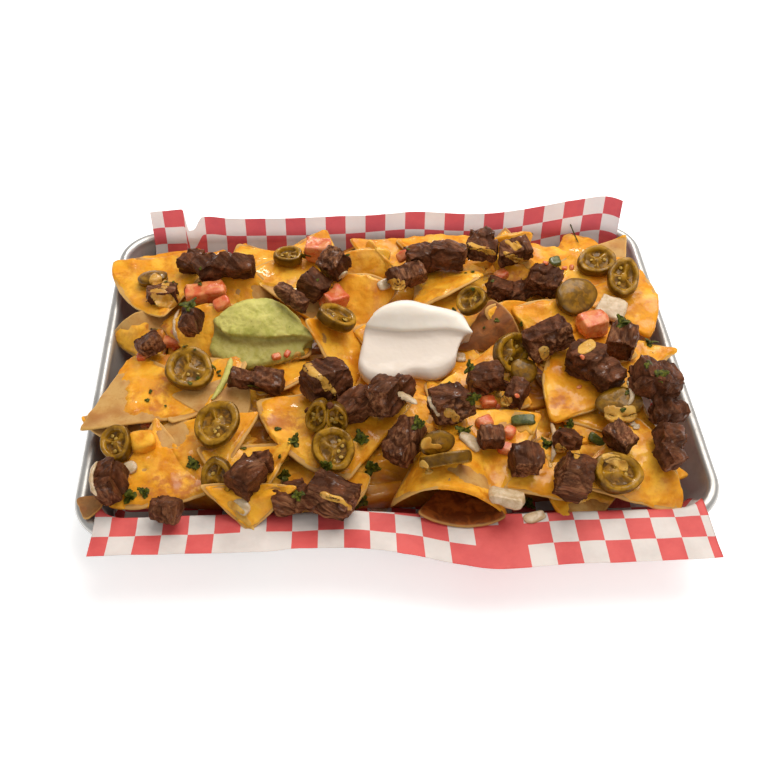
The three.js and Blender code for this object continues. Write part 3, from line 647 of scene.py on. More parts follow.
@dataclass(frozen=True)
class PickledPepper(Finish):
    """Pickled jalapeno: glossy olive skin, yellower flesh, wet."""

    skin: Colour = (0.165, 0.072, 0.002)
    deep: Colour = (0.085, 0.034, 0.001)
    flesh: Colour = (0.42, 0.205, 0.010)
    seed: Colour = (0.50, 0.31, 0.06)
    shade: Colour = (0.10, 0.040, 0.003)
    brine: Colour = (0.27, 0.115, 0.006)

    def build(self, g: Graph) -> Material:
        """The skin tone goes from flesh to skin and the seed tone to seed; noise clouds both; the hollow tone
        mixes painted shade and brine into the middle.
        """
        cloud = g.cloud(0.35, 0.7, 5, 3, 0.55, 0.7)
        skin = g.blend(cloud, self.skin, self.deep)
        flesh = g.blend(cloud, self.flesh, self.skin)
        colour = g.blend(g.tone("skin"), flesh, skin)
        # middle of a ring or an end: painted shade mixed with brine by noise
        inside = g.blend(g.cloud(0.45, 0.6, 3.2, 3, 0.6, 0.8), self.shade, self.brine)
        colour = g.blend(g.tone("hollow"), colour, inside, 0.9)
        colour = g.blend(g.tone("seed"), colour, self.seed)
        return g.dress(
            Base_Color=colour,
            Roughness=g.scaled(g.noise(4, 2), 0.2, 0.2),
            Specular_IOR_Level=0.2,
            Normal=g.bump(g.noise(1.6, 3), 0.14, 0.5, g.bump(g.noise(5, 2), 0.4, 0.4)),
            **soft(0.2, (0.8, 0.6, 0.1), 0.0018),
            Specular_Tint=(1.0, 0.9, 0.6),
            Coat_Weight=g.scaled(g.cloud(0.4, 0.6, 6, 2), 0.45),
            Coat_Roughness=0.07,
        )


@dataclass(frozen=True)
class MashedAvocado(Finish):
    """Mashed avocado: light yellow-green with darker flecks, moist."""

    light: Colour = (0.66, 0.59, 0.165)
    green: Colour = (0.46, 0.435, 0.085)
    fleck: Colour = (0.17, 0.17, 0.02)
    shade: Colour = (0.24, 0.175, 0.03)

    def build(self, g: Graph) -> Material:
        """Broad noise mixes the two greens and small flecks darken them; the recess tone paints shade below
        the lip.
        """
        broad = g.cloud(0.36, 0.7, 7, 4, 0.6, 0.5)
        flecks = g.cloud(0.64, 0.74, 1.7, 3, 0.6)
        colour = g.blend(broad, self.light, self.green)
        colour = g.blend(flecks, colour, self.fleck, 0.55)
        # painted shade below the lip
        colour = g.blend(g.tone("recess"), colour, self.shade)
        return g.dress(
            Base_Color=colour,
            Specular_IOR_Level=0.25,
            Roughness=g.scaled(g.noise(3, 3), 0.25, 0.32),
            Normal=g.bump(g.noise(1.4, 4, 0.65), 0.3, 0.55, g.bump(g.noise(4, 3), 0.6, 0.5)),
            **soft(0.15, (0.9, 0.8, 0.3), 0.002),
        )


@dataclass(frozen=True)
class SouredCream(Finish):
    """Thick cream: warm white, soft and slightly glossy."""

    white: Colour = (0.93, 0.855, 0.75)
    warm: Colour = (0.90, 0.81, 0.70)
    shade: Colour = (0.60, 0.50, 0.415)

    def build(self, g: Graph) -> Material:
        """Slow noise warms the white a little; fine noise keeps the gloss soft; the recess tone paints shade
        below the lip.
        """
        colour = g.blend(g.cloud(0.35, 0.7, 15, 3), self.white, self.warm)
        return g.dress(
            # painted shade below the lip
            Base_Color=g.blend(g.tone("recess"), colour, self.shade),
            Roughness=g.scaled(g.noise(5, 3), 0.2, 0.24),
            Normal=g.bump(g.noise(2.5, 3), 0.12, 0.4, g.bump(g.noise(9, 2), 0.5, 0.35)),
            **soft(0.25, (1.0, 0.8, 0.55), 0.003),
        )


@dataclass(frozen=True)
class FreshDice(Finish):
    """Moist diced vegetable: clouded between two colours, slightly see-through."""

    first: Colour = (0.62, 0.085, 0.018)
    second: Colour = (0.74, 0.27, 0.085)
    grain: float = 6.5
    depth: float = 0.002
    rough: float = 0.16

    def build(self, g: Graph) -> Material:
        """Noise clouds the two colours; a coat keeps it wet."""
        cloud = g.cloud(0.35, 0.68, self.grain, 4, 0.6, 0.8)
        streak = g.noise(1.0, 3, 0.6, stretch=(1, 0.25, 1))
        colour = g.blend(cloud, self.first, self.second)
        return g.dress(
            Base_Color=g.blend(streak, colour, self.second, 0.2),
            Roughness=g.scaled(g.noise(3, 2), 0.2, self.rough),
            Normal=g.bump(g.noise(1.8, 3), 0.25, 0.5, g.bump(streak, 0.1, 0.4)),
            **soft(0.25, (1.0, 0.6, 0.4), self.depth),
        )


@dataclass(frozen=True)
class HerbLeaf(Finish):
    """Chopped coriander: deep green with lighter veins and edges."""

    deep: Colour = (0.030, 0.036, 0.002)
    light: Colour = (0.155, 0.155, 0.012)

    def build(self, g: Graph) -> Material:
        """The vein tone and noise lighten the green."""
        mix = g.plus(g.scaled(g.tone("vein"), 0.6), g.scaled(g.cloud(0.4, 0.7, 2, 3), 0.55))
        return g.dress(
            Base_Color=g.blend(mix, self.deep, self.light),
            Specular_IOR_Level=0.15,
            Roughness=g.scaled(g.noise(2, 2), 0.3, 0.3),
            Normal=g.bump(g.noise(0.9, 3), 0.15, 0.5),
            **soft(0.1, (0.4, 0.8, 0.2), 0.0006),
        )


@dataclass(frozen=True)
class PaleFloor(Finish):
    """Plain matt studio floor with the faintest mottle."""

    white: Colour = (0.93, 0.93, 0.93)
    shade: Colour = (0.91, 0.91, 0.91)

    def build(self, g: Graph) -> Material:
        """Very broad noise keeps the floor from looking synthetic; a faint glow lightens its shadows."""
        colour = g.blend(g.noise(300, 2), self.white, self.shade)
        return g.dress(Base_Color=colour, Roughness=0.9, Emission_Color=(1, 1, 1), Emission_Strength=0.42)


# ---- view and ground


@dataclass(frozen=True)
class Viewpoint:
    """The camera: a pinhole standing in front of the pan and above it, looking down at the food."""

    place: Spot = (-32.2055, -433.2533, 454.523)
    pitch: float = 0.8059
    yaw: float = 0.0662
    roll: float = 0.0198
    focal: float = 1068.49
    half_image: float = 384.0

    def axes(self) -> Array:
        """Rows: the image's right, its up and the way that the camera looks."""
        forward = np.array([
            math.sin(self.yaw) * math.cos(self.pitch),
            math.cos(self.yaw) * math.cos(self.pitch),
            -math.sin(self.pitch),
        ])
        level = np.array([math.cos(self.yaw), -math.sin(self.yaw), 0.0])
        upright = np.cross(level, forward)
        c, s = math.cos(self.roll), math.sin(self.roll)
        return np.stack([c * level + s * upright, c * upright - s * level, forward])

    def rays(self, spots: Array) -> Array:
        """Unit directions from the camera through image spots, shape (..., 2)."""
        right, up, forward = self.axes()
        share = (spots - self.half_image) / self.focal
        return unit(share[..., :1] * right - share[..., 1:] * up + forward)

    def make_camera(self) -> None:
        """Adds the camera and makes it the scene's own."""
        data = bpy.data.cameras.new("front_camera")
        data.sensor_width = 36.0
        data.lens = self.focal / (2 * self.half_image) * data.sensor_width
        data.clip_start, data.clip_end = 0.01, 20.0
        camera = linked("front_camera", data)
        turned = np.eye(4)
        turned[:3, :3] = self.axes().T * [1, 1, -1]
        turned[:3, 3] = np.array(self.place) * MM
        camera.matrix_world = Matrix(turned.tolist())
        bpy.context.scene.camera = camera


VIEW = Viewpoint()


class Ground:
    """What toppings can lie on: the surface of several shapes; beside them a level at missed_z."""

    missed_z = 28.0

    def __init__(self, shapes: list[Shape]) -> None:
        """Builds the search tree over the shapes' triangles."""
        whole = joined([Shape(shape.points, shape.triangles) for shape in shapes])
        self.tree = BVHTree.FromPolygons(whole.points.tolist(), whole.triangles.tolist())

    def met(self, starts: Array, ways: Array, missed: Array) -> tuple[Array, Array]:
        """Where rays meet the ground, or else the missed places; and the upward normals there."""
        hits = [self.tree.ray_cast(Vector(start), Vector(way)) for start, way in zip(starts, ways)]
        places = np.array([hit[0] or miss for hit, miss in zip(hits, missed)], float)
        normals = np.array([hit[1] or (0.0, 0.0, 1.0) for hit in hits], float)
        return places, upward(normals)

    def seen(self, spots: Array) -> tuple[Array, Array]:
        """Places and upward normals where the camera sees the ground at image spots."""
        rays, eye = VIEW.rays(spots), np.array(VIEW.place)
        missed = eye + rays * (self.missed_z - eye[2]) / rays[:, 2:]
        return self.met(np.broadcast_to(eye, rays.shape), rays, missed)

    def below(self, plan: Array, top: float = 90.0, bottom: float = 1.8) -> tuple[Array, Array]:
        """Places and upward normals straight below plan points, shape (n, 2)."""
        down = np.broadcast_to([0.0, 0.0, -1.0], (len(plan), 3))
        return self.met(flat(*plan.T, top), down, flat(*plan.T, bottom))


def near_level(places: Array, level: Array, droop: float) -> Array:
    """Places moved along the camera's rays until they are within droop of the level's height."""
    eye = np.array(VIEW.place)
    kept = np.clip(places[:, 2], level - droop, level + droop)
    return eye + (places - eye) * ((kept - eye[2]) / (places[:, 2] - eye[2]))[:, None]


def upward(normals: Array) -> Array:
    """The normals, each turned over if it points down."""
    return np.where(normals[:, 2:] < 0, -normals, normals)


def axes_on(normal: Array, turn: float, upright: float = 0.4) -> Array:
    """Rows: two axes along a surface, turned round its normal, and the normal drawn a little upright."""
    up = unit(normal * (1 - upright) + [0, 0, upright])
    side = unit(np.cross([math.sin(turn), -math.cos(turn), 0.0], up))
    return np.stack([side, np.cross(up, side), up])


def turned_axes(turn: float, rise: float, bank: float) -> Array:
    """Rows: the images of the axes after a bank about x, a rise about y and a turn about z, in degrees."""
    return np.array(Euler([math.radians(angle) for angle in (bank, -rise, turn)]).to_matrix()).T


# ---- pan


@dataclass(frozen=True)
class SheetPan:
    """A quarter sheet pan with a rolled bead round its rim."""

    length: float = 330.0
    width: float = 241.0
    height: float = 25.0
    corner_radius: float = 27.0
    bead_radius: float = 3.2
    floor_thickness: float = 1.2
    wall_top_inset: float = 6.6
    wall_foot_inset: float = 15.5
    wall_top_z: float = 20.5
    wall_foot_z: float = 3.2
    floor_inset: float = 17.5
    corner_steps: int = 18
    side_steps: int = 14
    dent: float = 0.25

    def ring(self, inset: Array) -> Array:
        """Rounded rectangles drawn inside the rim, shape (len(inset), steps, 2).

        Each is four quarter circles of radius corner_radius - inset, joined by straight runs.
        """
        radius = np.maximum(self.corner_radius - inset, 1.0)[:, None]
        middle = np.array([self.length, self.width]) / 2 - inset[:, None] - radius
        corners = []
        for quarter, sign in enumerate(((1, 1), (-1, 1), (-1, -1), (1, -1))):
            angle = (quarter + np.linspace(0, 1, self.corner_steps)) * math.pi / 2
            arc = np.stack([np.cos(angle), np.sin(angle)], -1)
            corners.append((middle * sign)[:, None] + radius[..., None] * arc)
        share = np.linspace(0, 1, self.side_steps + 1)[1:-1, None]
        parts = []
        for corner, after in zip(corners, corners[1:] + corners[:1]):
            parts += [corner, corner[:, -1:] + (after[:, :1] - corner[:, -1:]) * share]
        return np.concatenate(parts, axis=1)

    def build(self) -> Shape:
        """Profile: flat underside, outer wall, rolled bead, inner wall and floor."""
        bead_z = self.height - self.bead_radius
        angle = np.radians(np.linspace(-52, -358, 22))
        bead = np.stack([1 + np.cos(angle), np.sin(angle)], 1) * self.bead_radius + [0, bead_z]
        top, foot = (self.wall_top_inset, self.wall_top_z), (self.wall_foot_inset, self.wall_foot_z)
        profile = np.concatenate([
            [[60.0, 0], [self.floor_inset - 0.2, 0], [self.floor_inset - 1, 0.15], [foot[0] - 1, 1.6]],
            [[10.2, 9.5], [6.6, 17.0]],
            bead,
            [[top[0] + 0.1, top[1] + 0.4], [top[0] + 0.4, top[1] - 0.6]],
            [[foot[0] - 0.5, foot[1] + 1.1], [foot[0] + 0.3, foot[1] - 0.7]],
            [[self.floor_inset, self.floor_thickness + 0.1], [self.floor_inset + 0.6, self.floor_thickness]],
            [[60.0, self.floor_thickness]],
        ])
        plan = self.ring(profile[:, 0])
        rings = np.concatenate([plan, np.broadcast_to(profile[:, None, 1:], (*plan.shape[:2], 1))], -1)
        shape = tube(rings)
        worn = fractal(shape.points, 45, 5, 2) * self.dent
        above_base = ease(1.7, 8, shape.points[:, 2])
        middle = shape.points * [1, 1, 0] / [self.length / 2, self.width / 2, 1]
        shape.points = shape.points + unit(middle) * (worn * above_base)[:, None]
        return shape


# ---- paper


@dataclass(frozen=True)
class CheckedLiner:
    """A square of deli paper laid in the pan, its front over the rim and its back standing up."""

    side: float = 304.8
    check: float = 12.7
    thickness: float = 0.22
    floor_gap: float = 0.4
    fold_z: float = 26.0
    left_flap: float = 16.0
    right_flap: float = 27.5
    back_cut: float = 8.0
    print_shift: tuple[float, float] = (0.34, -0.22)
    columns: int = 250
    wrinkle: float = 0.35

    def wall_y(self, x: Array, inset: Array) -> Array:
        """Where the pan's long inner wall stands at x: straight, then round its corner circles."""
        pan = SheetPan()
        radius = pan.corner_radius - inset
        past = np.clip(np.abs(x) - (pan.length / 2 - pan.corner_radius), 0, radius * 0.98)
        return pan.width / 2 - pan.corner_radius + np.sqrt(radius**2 - past**2)

    def cut_in(self, u: Array) -> Array:
        """Places along the back edge, drawn in by back_cut at its left end."""
        return np.where(u < -120, -120 + (u + 120) * (1 - self.back_cut / 32.4), u)

    def back_top(self, x: Array) -> Array:
        """Height of the standing back flap: a notch at the left, a slow rise to the right."""
        notch = ease(-124.5, -122.5, x) * ease(-113, -120, x)
        left = 8 * ease(-122.5, -124.5, x) - 9 * notch + 1.8 * bell(-109, 9, x)
        waves = 2.4 * bell(15, 26, x) - 0.6 * bell(-40, 30, x)
        return 38 + left + waves + 12 * ease(62, 150, x)

    def lines(self) -> Array:
        """The paper's middle surface, shape (columns + 1, places, 3), from front edge to back edge."""
        u = np.linspace(-0.5, 0.5, self.columns + 1) * self.side
        standing = ease(45, -35, u)
        side = np.sign(u)
        pan = SheetPan()
        spots = []
        flap = self.right_flap + (self.left_flap - self.right_flap) * standing + 1.5 * bell(45, 22, u)
        for share in np.linspace(1, 0.1, 10):
            out = flap * share
            lift = 0.16 * standing * out
            wave = 0.9 * share * lattice(flat(u, 7.0, 1), 26, 3)
            wave += 0.35 * lattice(flat(u, out, 4.0), 9, 8)
            reach = -118 - np.sqrt(out**2 - lift**2)
            spots.append(np.stack([u + 0.02 * out * side, reach, self.fold_z + lift + wave], 1))
        over = [(3.2, 25.8), (5.0, 25.5), (6.4, 24.4), (7.3, 22.3)]
        down = [(8.1, 20.2), (10.6, 15.2), (13.1, 10.0), (15.7, 4.9), (18.4, 2.2)]
        off = [(0, 0.2), (1.2, 0.7), (2.8, 1.7), (3.6, 3.3), (3.9, 1.6), (3.2, 0.8), (2.2, 0), (1, 0), (0, 0)]

        def on_wall(inset: Array, z: Array, sign: float, line: Array) -> Array:
            most = pan.length / 2 - inset - 0.5
            x = np.clip(line, -most, most)
            return np.stack([x, sign * (self.wall_y(x, inset) - 0.25), z + 0 * line], 1)

        for (inset, z), (in_more, up_more) in zip(over + down, off):
            spots.append(on_wall(inset + in_more * standing, z + up_more * standing, -1, u))
        climb = np.maximum(np.abs(u) - 145.5, 0)
        floor_x = side * (np.abs(u) - 0.55 * climb)
        floor_z = pan.floor_thickness + self.floor_gap + 0.2 + 0.86 * climb
        spots += [np.stack([floor_x, np.full_like(u, y), floor_z], 1) for y in (-92, -60, -20, 20, 60, 92)]
        back_u = self.cut_in(u)
        spots += [on_wall(inset + 0 * u, z, 1, back_u) for inset, z in down[::-1]]
        top = self.back_top(back_u)
        for share in np.linspace(0, 1, 9):
            z = 24.6 + (top - 24.6) * share
            sway = 1.4 * share * lattice(flat(u, 0.0, 11), 30, 4)
            wall = np.minimum(self.wall_y(back_u, np.full_like(u, 7.6)), 113)
            spots.append(np.stack([back_u, wall - 0.4 + 1.2 * share + sway, z], 1))
        return np.stack(spots, axis=1)

    def build(self) -> tuple[Shape, Array]:
        """The sheet, and its texture places: one unit for each check, counted from the front left corner."""
        lines = refined(self.lines().transpose(1, 0, 2), 150, 0).transpose(1, 0, 2)
        gap = np.linalg.norm(np.diff(lines, axis=1), axis=2)
        length = np.concatenate([np.zeros((len(lines), 1)), np.cumsum(gap, axis=1)], axis=1)
        from_back = 24 - (length[:, -1:] - length) / self.check
        blend = ease(60, 130, length)
        along = length / self.check * (1 - blend) + from_back * blend
        front_shift, back_shift = self.print_shift
        flat_u = np.linspace(-0.5, 0.5, self.columns + 1)[:, None] * self.side
        across = (flat_u * (1 - blend) + self.cut_in(flat_u) * blend + self.side / 2) / self.check
        across = across + front_shift + (back_shift - front_shift) * blend
        normal = unit(np.cross(np.gradient(lines, axis=0), np.gradient(lines, axis=1)))
        free = np.maximum(ease(32, 18, length), ease(12, 3, length[:, -1:] - length))
        crumple = fractal(lines, 17, 21, 3)
        lines = lines + normal * (crumple * self.wrinkle * (0.35 + 1.6 * free))[..., None]
        upper, lower = lines + normal * self.thickness / 2, lines - normal * self.thickness / 2
        faces, rim, count = grid_faces(*length.shape, False), rim_of(*length.shape), length.size
        after = np.roll(rim, -1)
        wall = [np.stack([rim, rim + count, after + count], 1), np.stack([rim, after + count, after], 1)]
        triangles = np.concatenate([faces, faces[:, ::-1] + count, *wall])
        spots = np.stack([across.ravel(), along.ravel()], 1)
        # lit: share of the painted glow, high on the upper part of the standing back flap
        lit = ease(18, 32, upper[..., 2]) * ease(60, 100, upper[..., 1])
        shape = Shape(
            np.concatenate([upper.reshape(-1, 3), lower.reshape(-1, 3)]),
            triangles,
            {"lit": np.concatenate([lit.ravel(), np.zeros(count)])},
        ).outward()
        return shape, np.concatenate([spots, spots])[shape.triangles.ravel()]


# ---- chips and queso


@dataclass(frozen=True)
class Chip:
    """One wedge of a round tortilla: two straight sides from its point, one bulging, bowed across."""

    x: float
    y: float
    z: float
    turn: float
    rise: float
    bank: float
    side: float
    bow: float
    seed: int = 0
    cover: float = 0.55
    # under: darkening of the upper face, partly soaking and partly painted shade
    under: float = 0.0
    stretch: float = 1.0
    steps: int = 68
    low: float = -1.25
    high: float = 0.55
    warp: float = 0.8

    def outline(self) -> Array:
        """Its edge seen from above, corners rounded, shape (steps, 2)."""
        reach = self.side * math.sqrt(3) / 2
        share = np.linspace(0, 1, 80, endpoint=False)
        tip = np.array([2 / 3 * reach, 0.0])
        left, right = np.array([-reach / 3, -self.side / 2]), np.array([-reach / 3, self.side / 2])
        bulge = 0.13 * self.side * 4 * share * (1 - share)
        base = right + (left - right) * share[:, None] - np.stack([bulge, 0 * bulge], 1)
        share = share[:, None]
        edge = np.concatenate([tip + (right - tip) * share, base, left + (tip - left) * share])
        wave = np.fft.fftfreq(len(edge), 1.0)
        soft = np.exp(-2 * (math.pi * wave * 2.2 / (3 * self.side) * len(edge)) ** 2)[:, None]
        edge = np.fft.ifft(np.fft.fft(edge, axis=0) * soft, axis=0).real
        out = unit(np.stack([np.gradient(edge[:, 1]), -np.gradient(edge[:, 0])], 1))
        out *= np.sign(((edge - edge.mean(0)) * out).sum(1, keepdims=True))
        ragged = fractal(self.spots(edge, 31.0), 7, self.seed, 3)
        edge = edge + out * (0.7 * ragged)[:, None]
        return edge[np.linspace(0, len(edge), self.steps, endpoint=False).astype(int)]

    def spots(self, plan: Array, salt: float) -> Array:
        """Places for noise of this chip's own over its plan places, shape (..., 3)."""
        return flat(plan[..., 0], plan[..., 1], self.seed * salt)

    def level(self, plan: Array) -> Array:
        """Height of its middle surface: bow * (2y / side)^2 - 0.3 bow, and a slow warp."""
        bowed = self.bow * (2 * plan[..., 1] / self.side) ** 2 - 0.3 * self.bow
        return bowed + self.warp * fractal(self.spots(plan, 17.0), 16, self.seed + 9, 2)

    def rings(self, shares: Array) -> Array:
        """Plan rings at shares of the way from the middle to the edge, shape (n, steps, 2)."""
        edge = self.outline()
        middle = edge.mean(0)
        return middle + (edge - middle) * shares[:, None, None]

    def blisters(self, plan: Array) -> Array:
        """Height of fried blisters on the upper face."""
        return 1.5 * np.maximum(lattice(self.spots(plan, 7.0), 6.5, self.seed + 3) - 0.25, 0)

    def placed(self, places: Array) -> Array:
        """Places on the chip in the pan's frame."""
        return places @ turned_axes(self.turn, self.rise, self.bank) + [self.x, self.y, self.z]

    def body(self) -> Shape:
        """The fried chip: two faces with a rounded edge between them."""
        inner, outer = np.linspace(0.05, 0.9, 6), [0.975, 1.0, 0.985, 0.955]
        shares = np.concatenate([inner, outer, np.linspace(0.92, 0.06, 15)])
        plan = self.rings(shares)
        edge = [self.low + 0.3, (self.low + self.high) / 2, self.high - 0.3]
        rise = np.array([self.low] * 6 + edge + [self.high] * 16)[:, None]
        upper = (np.arange(len(shares)) > 7)[:, None]
        blisters = self.blisters(plan)
        rim = ease(0.93, 0.99, shares)[:, None] * (1 - 0.45 * self.under) + 0 * blisters
        # under tone: full on the lower face, the chip's own share on the upper: soaking and painted shade
        under = np.where(upper, self.under, 1.0) * (1 - rim)
        tones = {"toast": np.clip(1.1 * blisters, 0, 1), "under": under, "rim": rim}
        return self.skin(plan, self.level(plan) + rise + upper * blisters, tones)

    def skin(self, plan: Array, z: Array, tones: dict[str, Array]) -> Shape:
        """The placed skin through plan rings, stretched along the wedge, at heights z."""
        rings = np.concatenate([plan * [self.stretch, 1.0], z[..., None]], -1)
        return tube(self.placed(rings), tones)

    def coat(self) -> Shape:
        """Melted queso over the upper face, rounding over the edge where it is thick.

        Its surface stands (thickness + 0.3) * share - 0.3 above the chip, so that it leaves the
        chip bare where its share goes to 0.
        """
        shares = np.concatenate([[0.90, 0.965, 1.0, 1.0, 0.985, 0.955], np.linspace(0.92, 0.06, 15)])
        plan = self.rings(shares)
        spots = self.spots(plan, 53.0)
        cloud = fractal(spots, 13, self.seed + 77, 3)
        fine = fractal(spots, 4.2, self.seed + 177, 2)
        share = ease(-0.22, 0.12, cloud + 0.25 * fine + self.cover)
        laid = self.placed(self.spots(plan, 0.0))
        share = share * (1 - within(BARE_PLACES, laid, 0.35 * fine))
        edge = self.spots(plan[3], 53.0)
        spill = ease(0.12, 0.42, lattice(edge, 12, self.seed + 5) + 0.5 * (self.cover - 0.5))
        margin = (0.018 + 0.085 * ease(0.6, -0.1, cloud[3] + self.cover - 0.25)) * (1 - spill)
        inside = np.maximum(1 - ease(0.965 - margin, 1.005 - margin, shares[:, None]), spill)
        share = np.where(np.arange(len(shares))[:, None] > 3, share * inside, share)
        thick = 1.0 + 0.5 * cloud + 0.45 * fine
        level = self.level(plan)
        top = level + self.high + self.blisters(plan) * 0.95 + (thick + 0.3) * share - 0.3 - 0.5 * (1 - share)
        middle, wraps = (self.low + self.high) / 2, share[3] * spill
        z = top.copy()
        z[0] = level[0] + middle
        z[1] = level[1] + self.low + 0.35 - 0.55 * wraps
        z[2] = level[2] + middle - 0.3 * wraps
        z[3] = level[3] + self.high - 0.4 + 0.45 * wraps
        out = unit(plan[2] - plan.mean(axis=(0, 1)))
        plan[2] += out * (0.75 * wraps - 0.45)[:, None]
        plan[3] += out * (0.65 * wraps - 0.35)[:, None]
        thin = 1 - np.clip(thick * share, 0, 1)
        return self.skin(plan, z, {"thin": thin, "salsa": within(SALSA_PLACES, laid, 0)})


# Plan ovals, each x, y and its two half-widths: where no queso ran, and where salsa reddens it.
BARE_PLACES = (
    (-154, -42, 12, 26), (-141, -58, 15, 10), (-117, -62, 8, 9), (-81, -46, 9, 6), (142, 74, 17, 7),
    (-70, 44, 9, 6), (-43, 31, 8, 7), (96, -112, 16, 6), (34, -104, 10, 5),
)
SALSA_PLACES = (
    (-127, -36, 6, 15), (-114, -95, 17, 9), (-58, -60, 13, 7), (-37, -71, 9, 6), (88, -53, 7, 5),
    (80, 49, 10, 8), (52, 8, 9, 9), (-134, 22, 7, 10), (60, -112, 14, 5), (-98, -52, 6, 6), (101, -84, 10, 6),
)


def within(ovals: Rows, places: Array, uneven: Array) -> Array:
    """1 inside any of the plan ovals, 0 outside, eased over their edge, which the uneven term moves."""
    most = np.zeros(places.shape[:-1])
    for x, y, half_x, half_y in ovals:
        gap = np.hypot((places[..., 0] - x) / half_x, (places[..., 1] - y) / half_y)
        most = np.maximum(most, ease(1.12, 0.88, gap + uneven))
    return most


# Each row: middle x, y, z; turn of the point; rise of the point; bank of its left side; side; bow; and its
# cover where that isn't the usual one.
CHIP_ROWS = (
    # left end
    (-131, 64, 33.5, 32, 2, -4, 70, 3),
    (-140, 20, 23, -64, -28, 16, 42, -10, 0.1),
    (-138, -37, 35, -139, 2, 0, 64, -3),
    (-113, -21, 33, 140, -2, 0, 62, 2, 0.35),
    (-123, -82, 30, 97, 7, -3, 56, -3),
    (-97, -67, 33, 33, 6, 4, 54, -3, 0.35),
    (-96, -39, 34, 176, 9, -4, 44, 2, 0.0),
    (-105, 11, 33, -72, -24, 20, 46, -2),
    # back left
    (-88, 47, 34, -122, -24, -16, 40, -9),
    (-51, 52, 36, -73, -5, 0, 62, 2),
    (-74, 75, 31, 6, 6, 0, 50, 3),
    # front left, folded like a dish round its filling
    (-79, -90, 32, -88, -6, 0, 50, 10, 0.4),
    (-58, -76, 27, 163, 0, -9, 46, -2),
    (-41, -92, 22, 134, 12, -14, 48, 2),
    # centre left
    (-44, -57, 37, 34, 1, 5, 60, -4),
    (-21, -62, 35, 17, 12, 5, 56, -3),
    (-26, -2, 32, -85, -14, -28, 52, 3),
    # standing chips behind the cream
    (-14, 38, 32, -101, -40, -12, 42, -4),
    (-12, 63, 32, -73, -48, 4, 40, -3),
    (-6, 70, 34, 110, 58, -30, 30, 0),
    (31, 52, 36, 110, -16, -12, 50, -3),
    (50, 37, 32, 55, 4, 3, 52, 2),
    (34, 84, 30, -88, 5, 0, 52, 3),
    # front middle
    (26, -89, 35, 80, -7, -2, 62, -27),
    (30, -104, 25, 85, -9, 1, 46, 3, -1.5),
    (47, -80, 37, -89, -3, 1, 60, 4),
    (20, -62, 34, 17, -2, 2, 54, 2),
    (71, -95, 32, -160, 0, -6, 46, -5),
    # right of the cream
    (57, 8, 34, -162, -22, -30, 38, -9, -1.25),
    (72, 12, 34, -84, -38, -6, 38, 4),
    (52, -28, 33, 74, 0, 0, 54, 2),
    (5, -2, 31, -94, -3, 0, 58, 2),
    # right
    (106, -38, 39, -13, -3, 4, 62, -4),
    (118, -54, 33, -49, -2, 3, 56, 2),
    (116, -94, 32, -165, 0, -14, 60, -4),
    (131, -86, 23, -4, -14, 6, 40, 2),
    (114, 4, 34, 81, 0, 0, 56, 2),
    (92, 7, 36, -92, -20, -6, 46, -3),
    (139, -12, 31, 10, 2, 3, 44, 2),
    # back right
    (129, 60, 35, 47, 11, 4, 58, -5),
    (136, 32, 35, 175, -3, -5, 56, -4),
    (79, 79, 32, -64, -62, 22, 34, -7),
    (76, 57, 36, -118, -25, -2, 32, -6),
    (100, 66, 33, -112, 0, 0, 48, 2),
    # lower layer at the rim
    (-128, 88, 22, 60, -8, 10, 44, 3),
    (-40, 84, 25, -40, -10, 4, 50, 2),
    (2, 88, 27, 150, 8, -5, 48, 3),
    (140, 4, 24, -60, 10, -14, 46, 3),
    (120, 86, 25, -150, -8, 8, 44, -3),
    (93, -104, 24, 20, -6, 8, 44, 2),
)


# Broken and folded chips tucked between the others; a tenth number is the stretch along the wedge.
TUCKED_ROWS = (
    (-76, -109, 34.5, -94, -28, 2, 50, 10, 0.5, 0.5),
    (-156, -101, 27, 150, 0, 0, 19, 1, -1.0, 0.8),
    (-136, -66, 28, 118, 5, -3, 44, 2, 0.5, 1.0),
    (-150, -52, 33, 60, 0, 6, 30, 3, 0.3, 0.8),
)


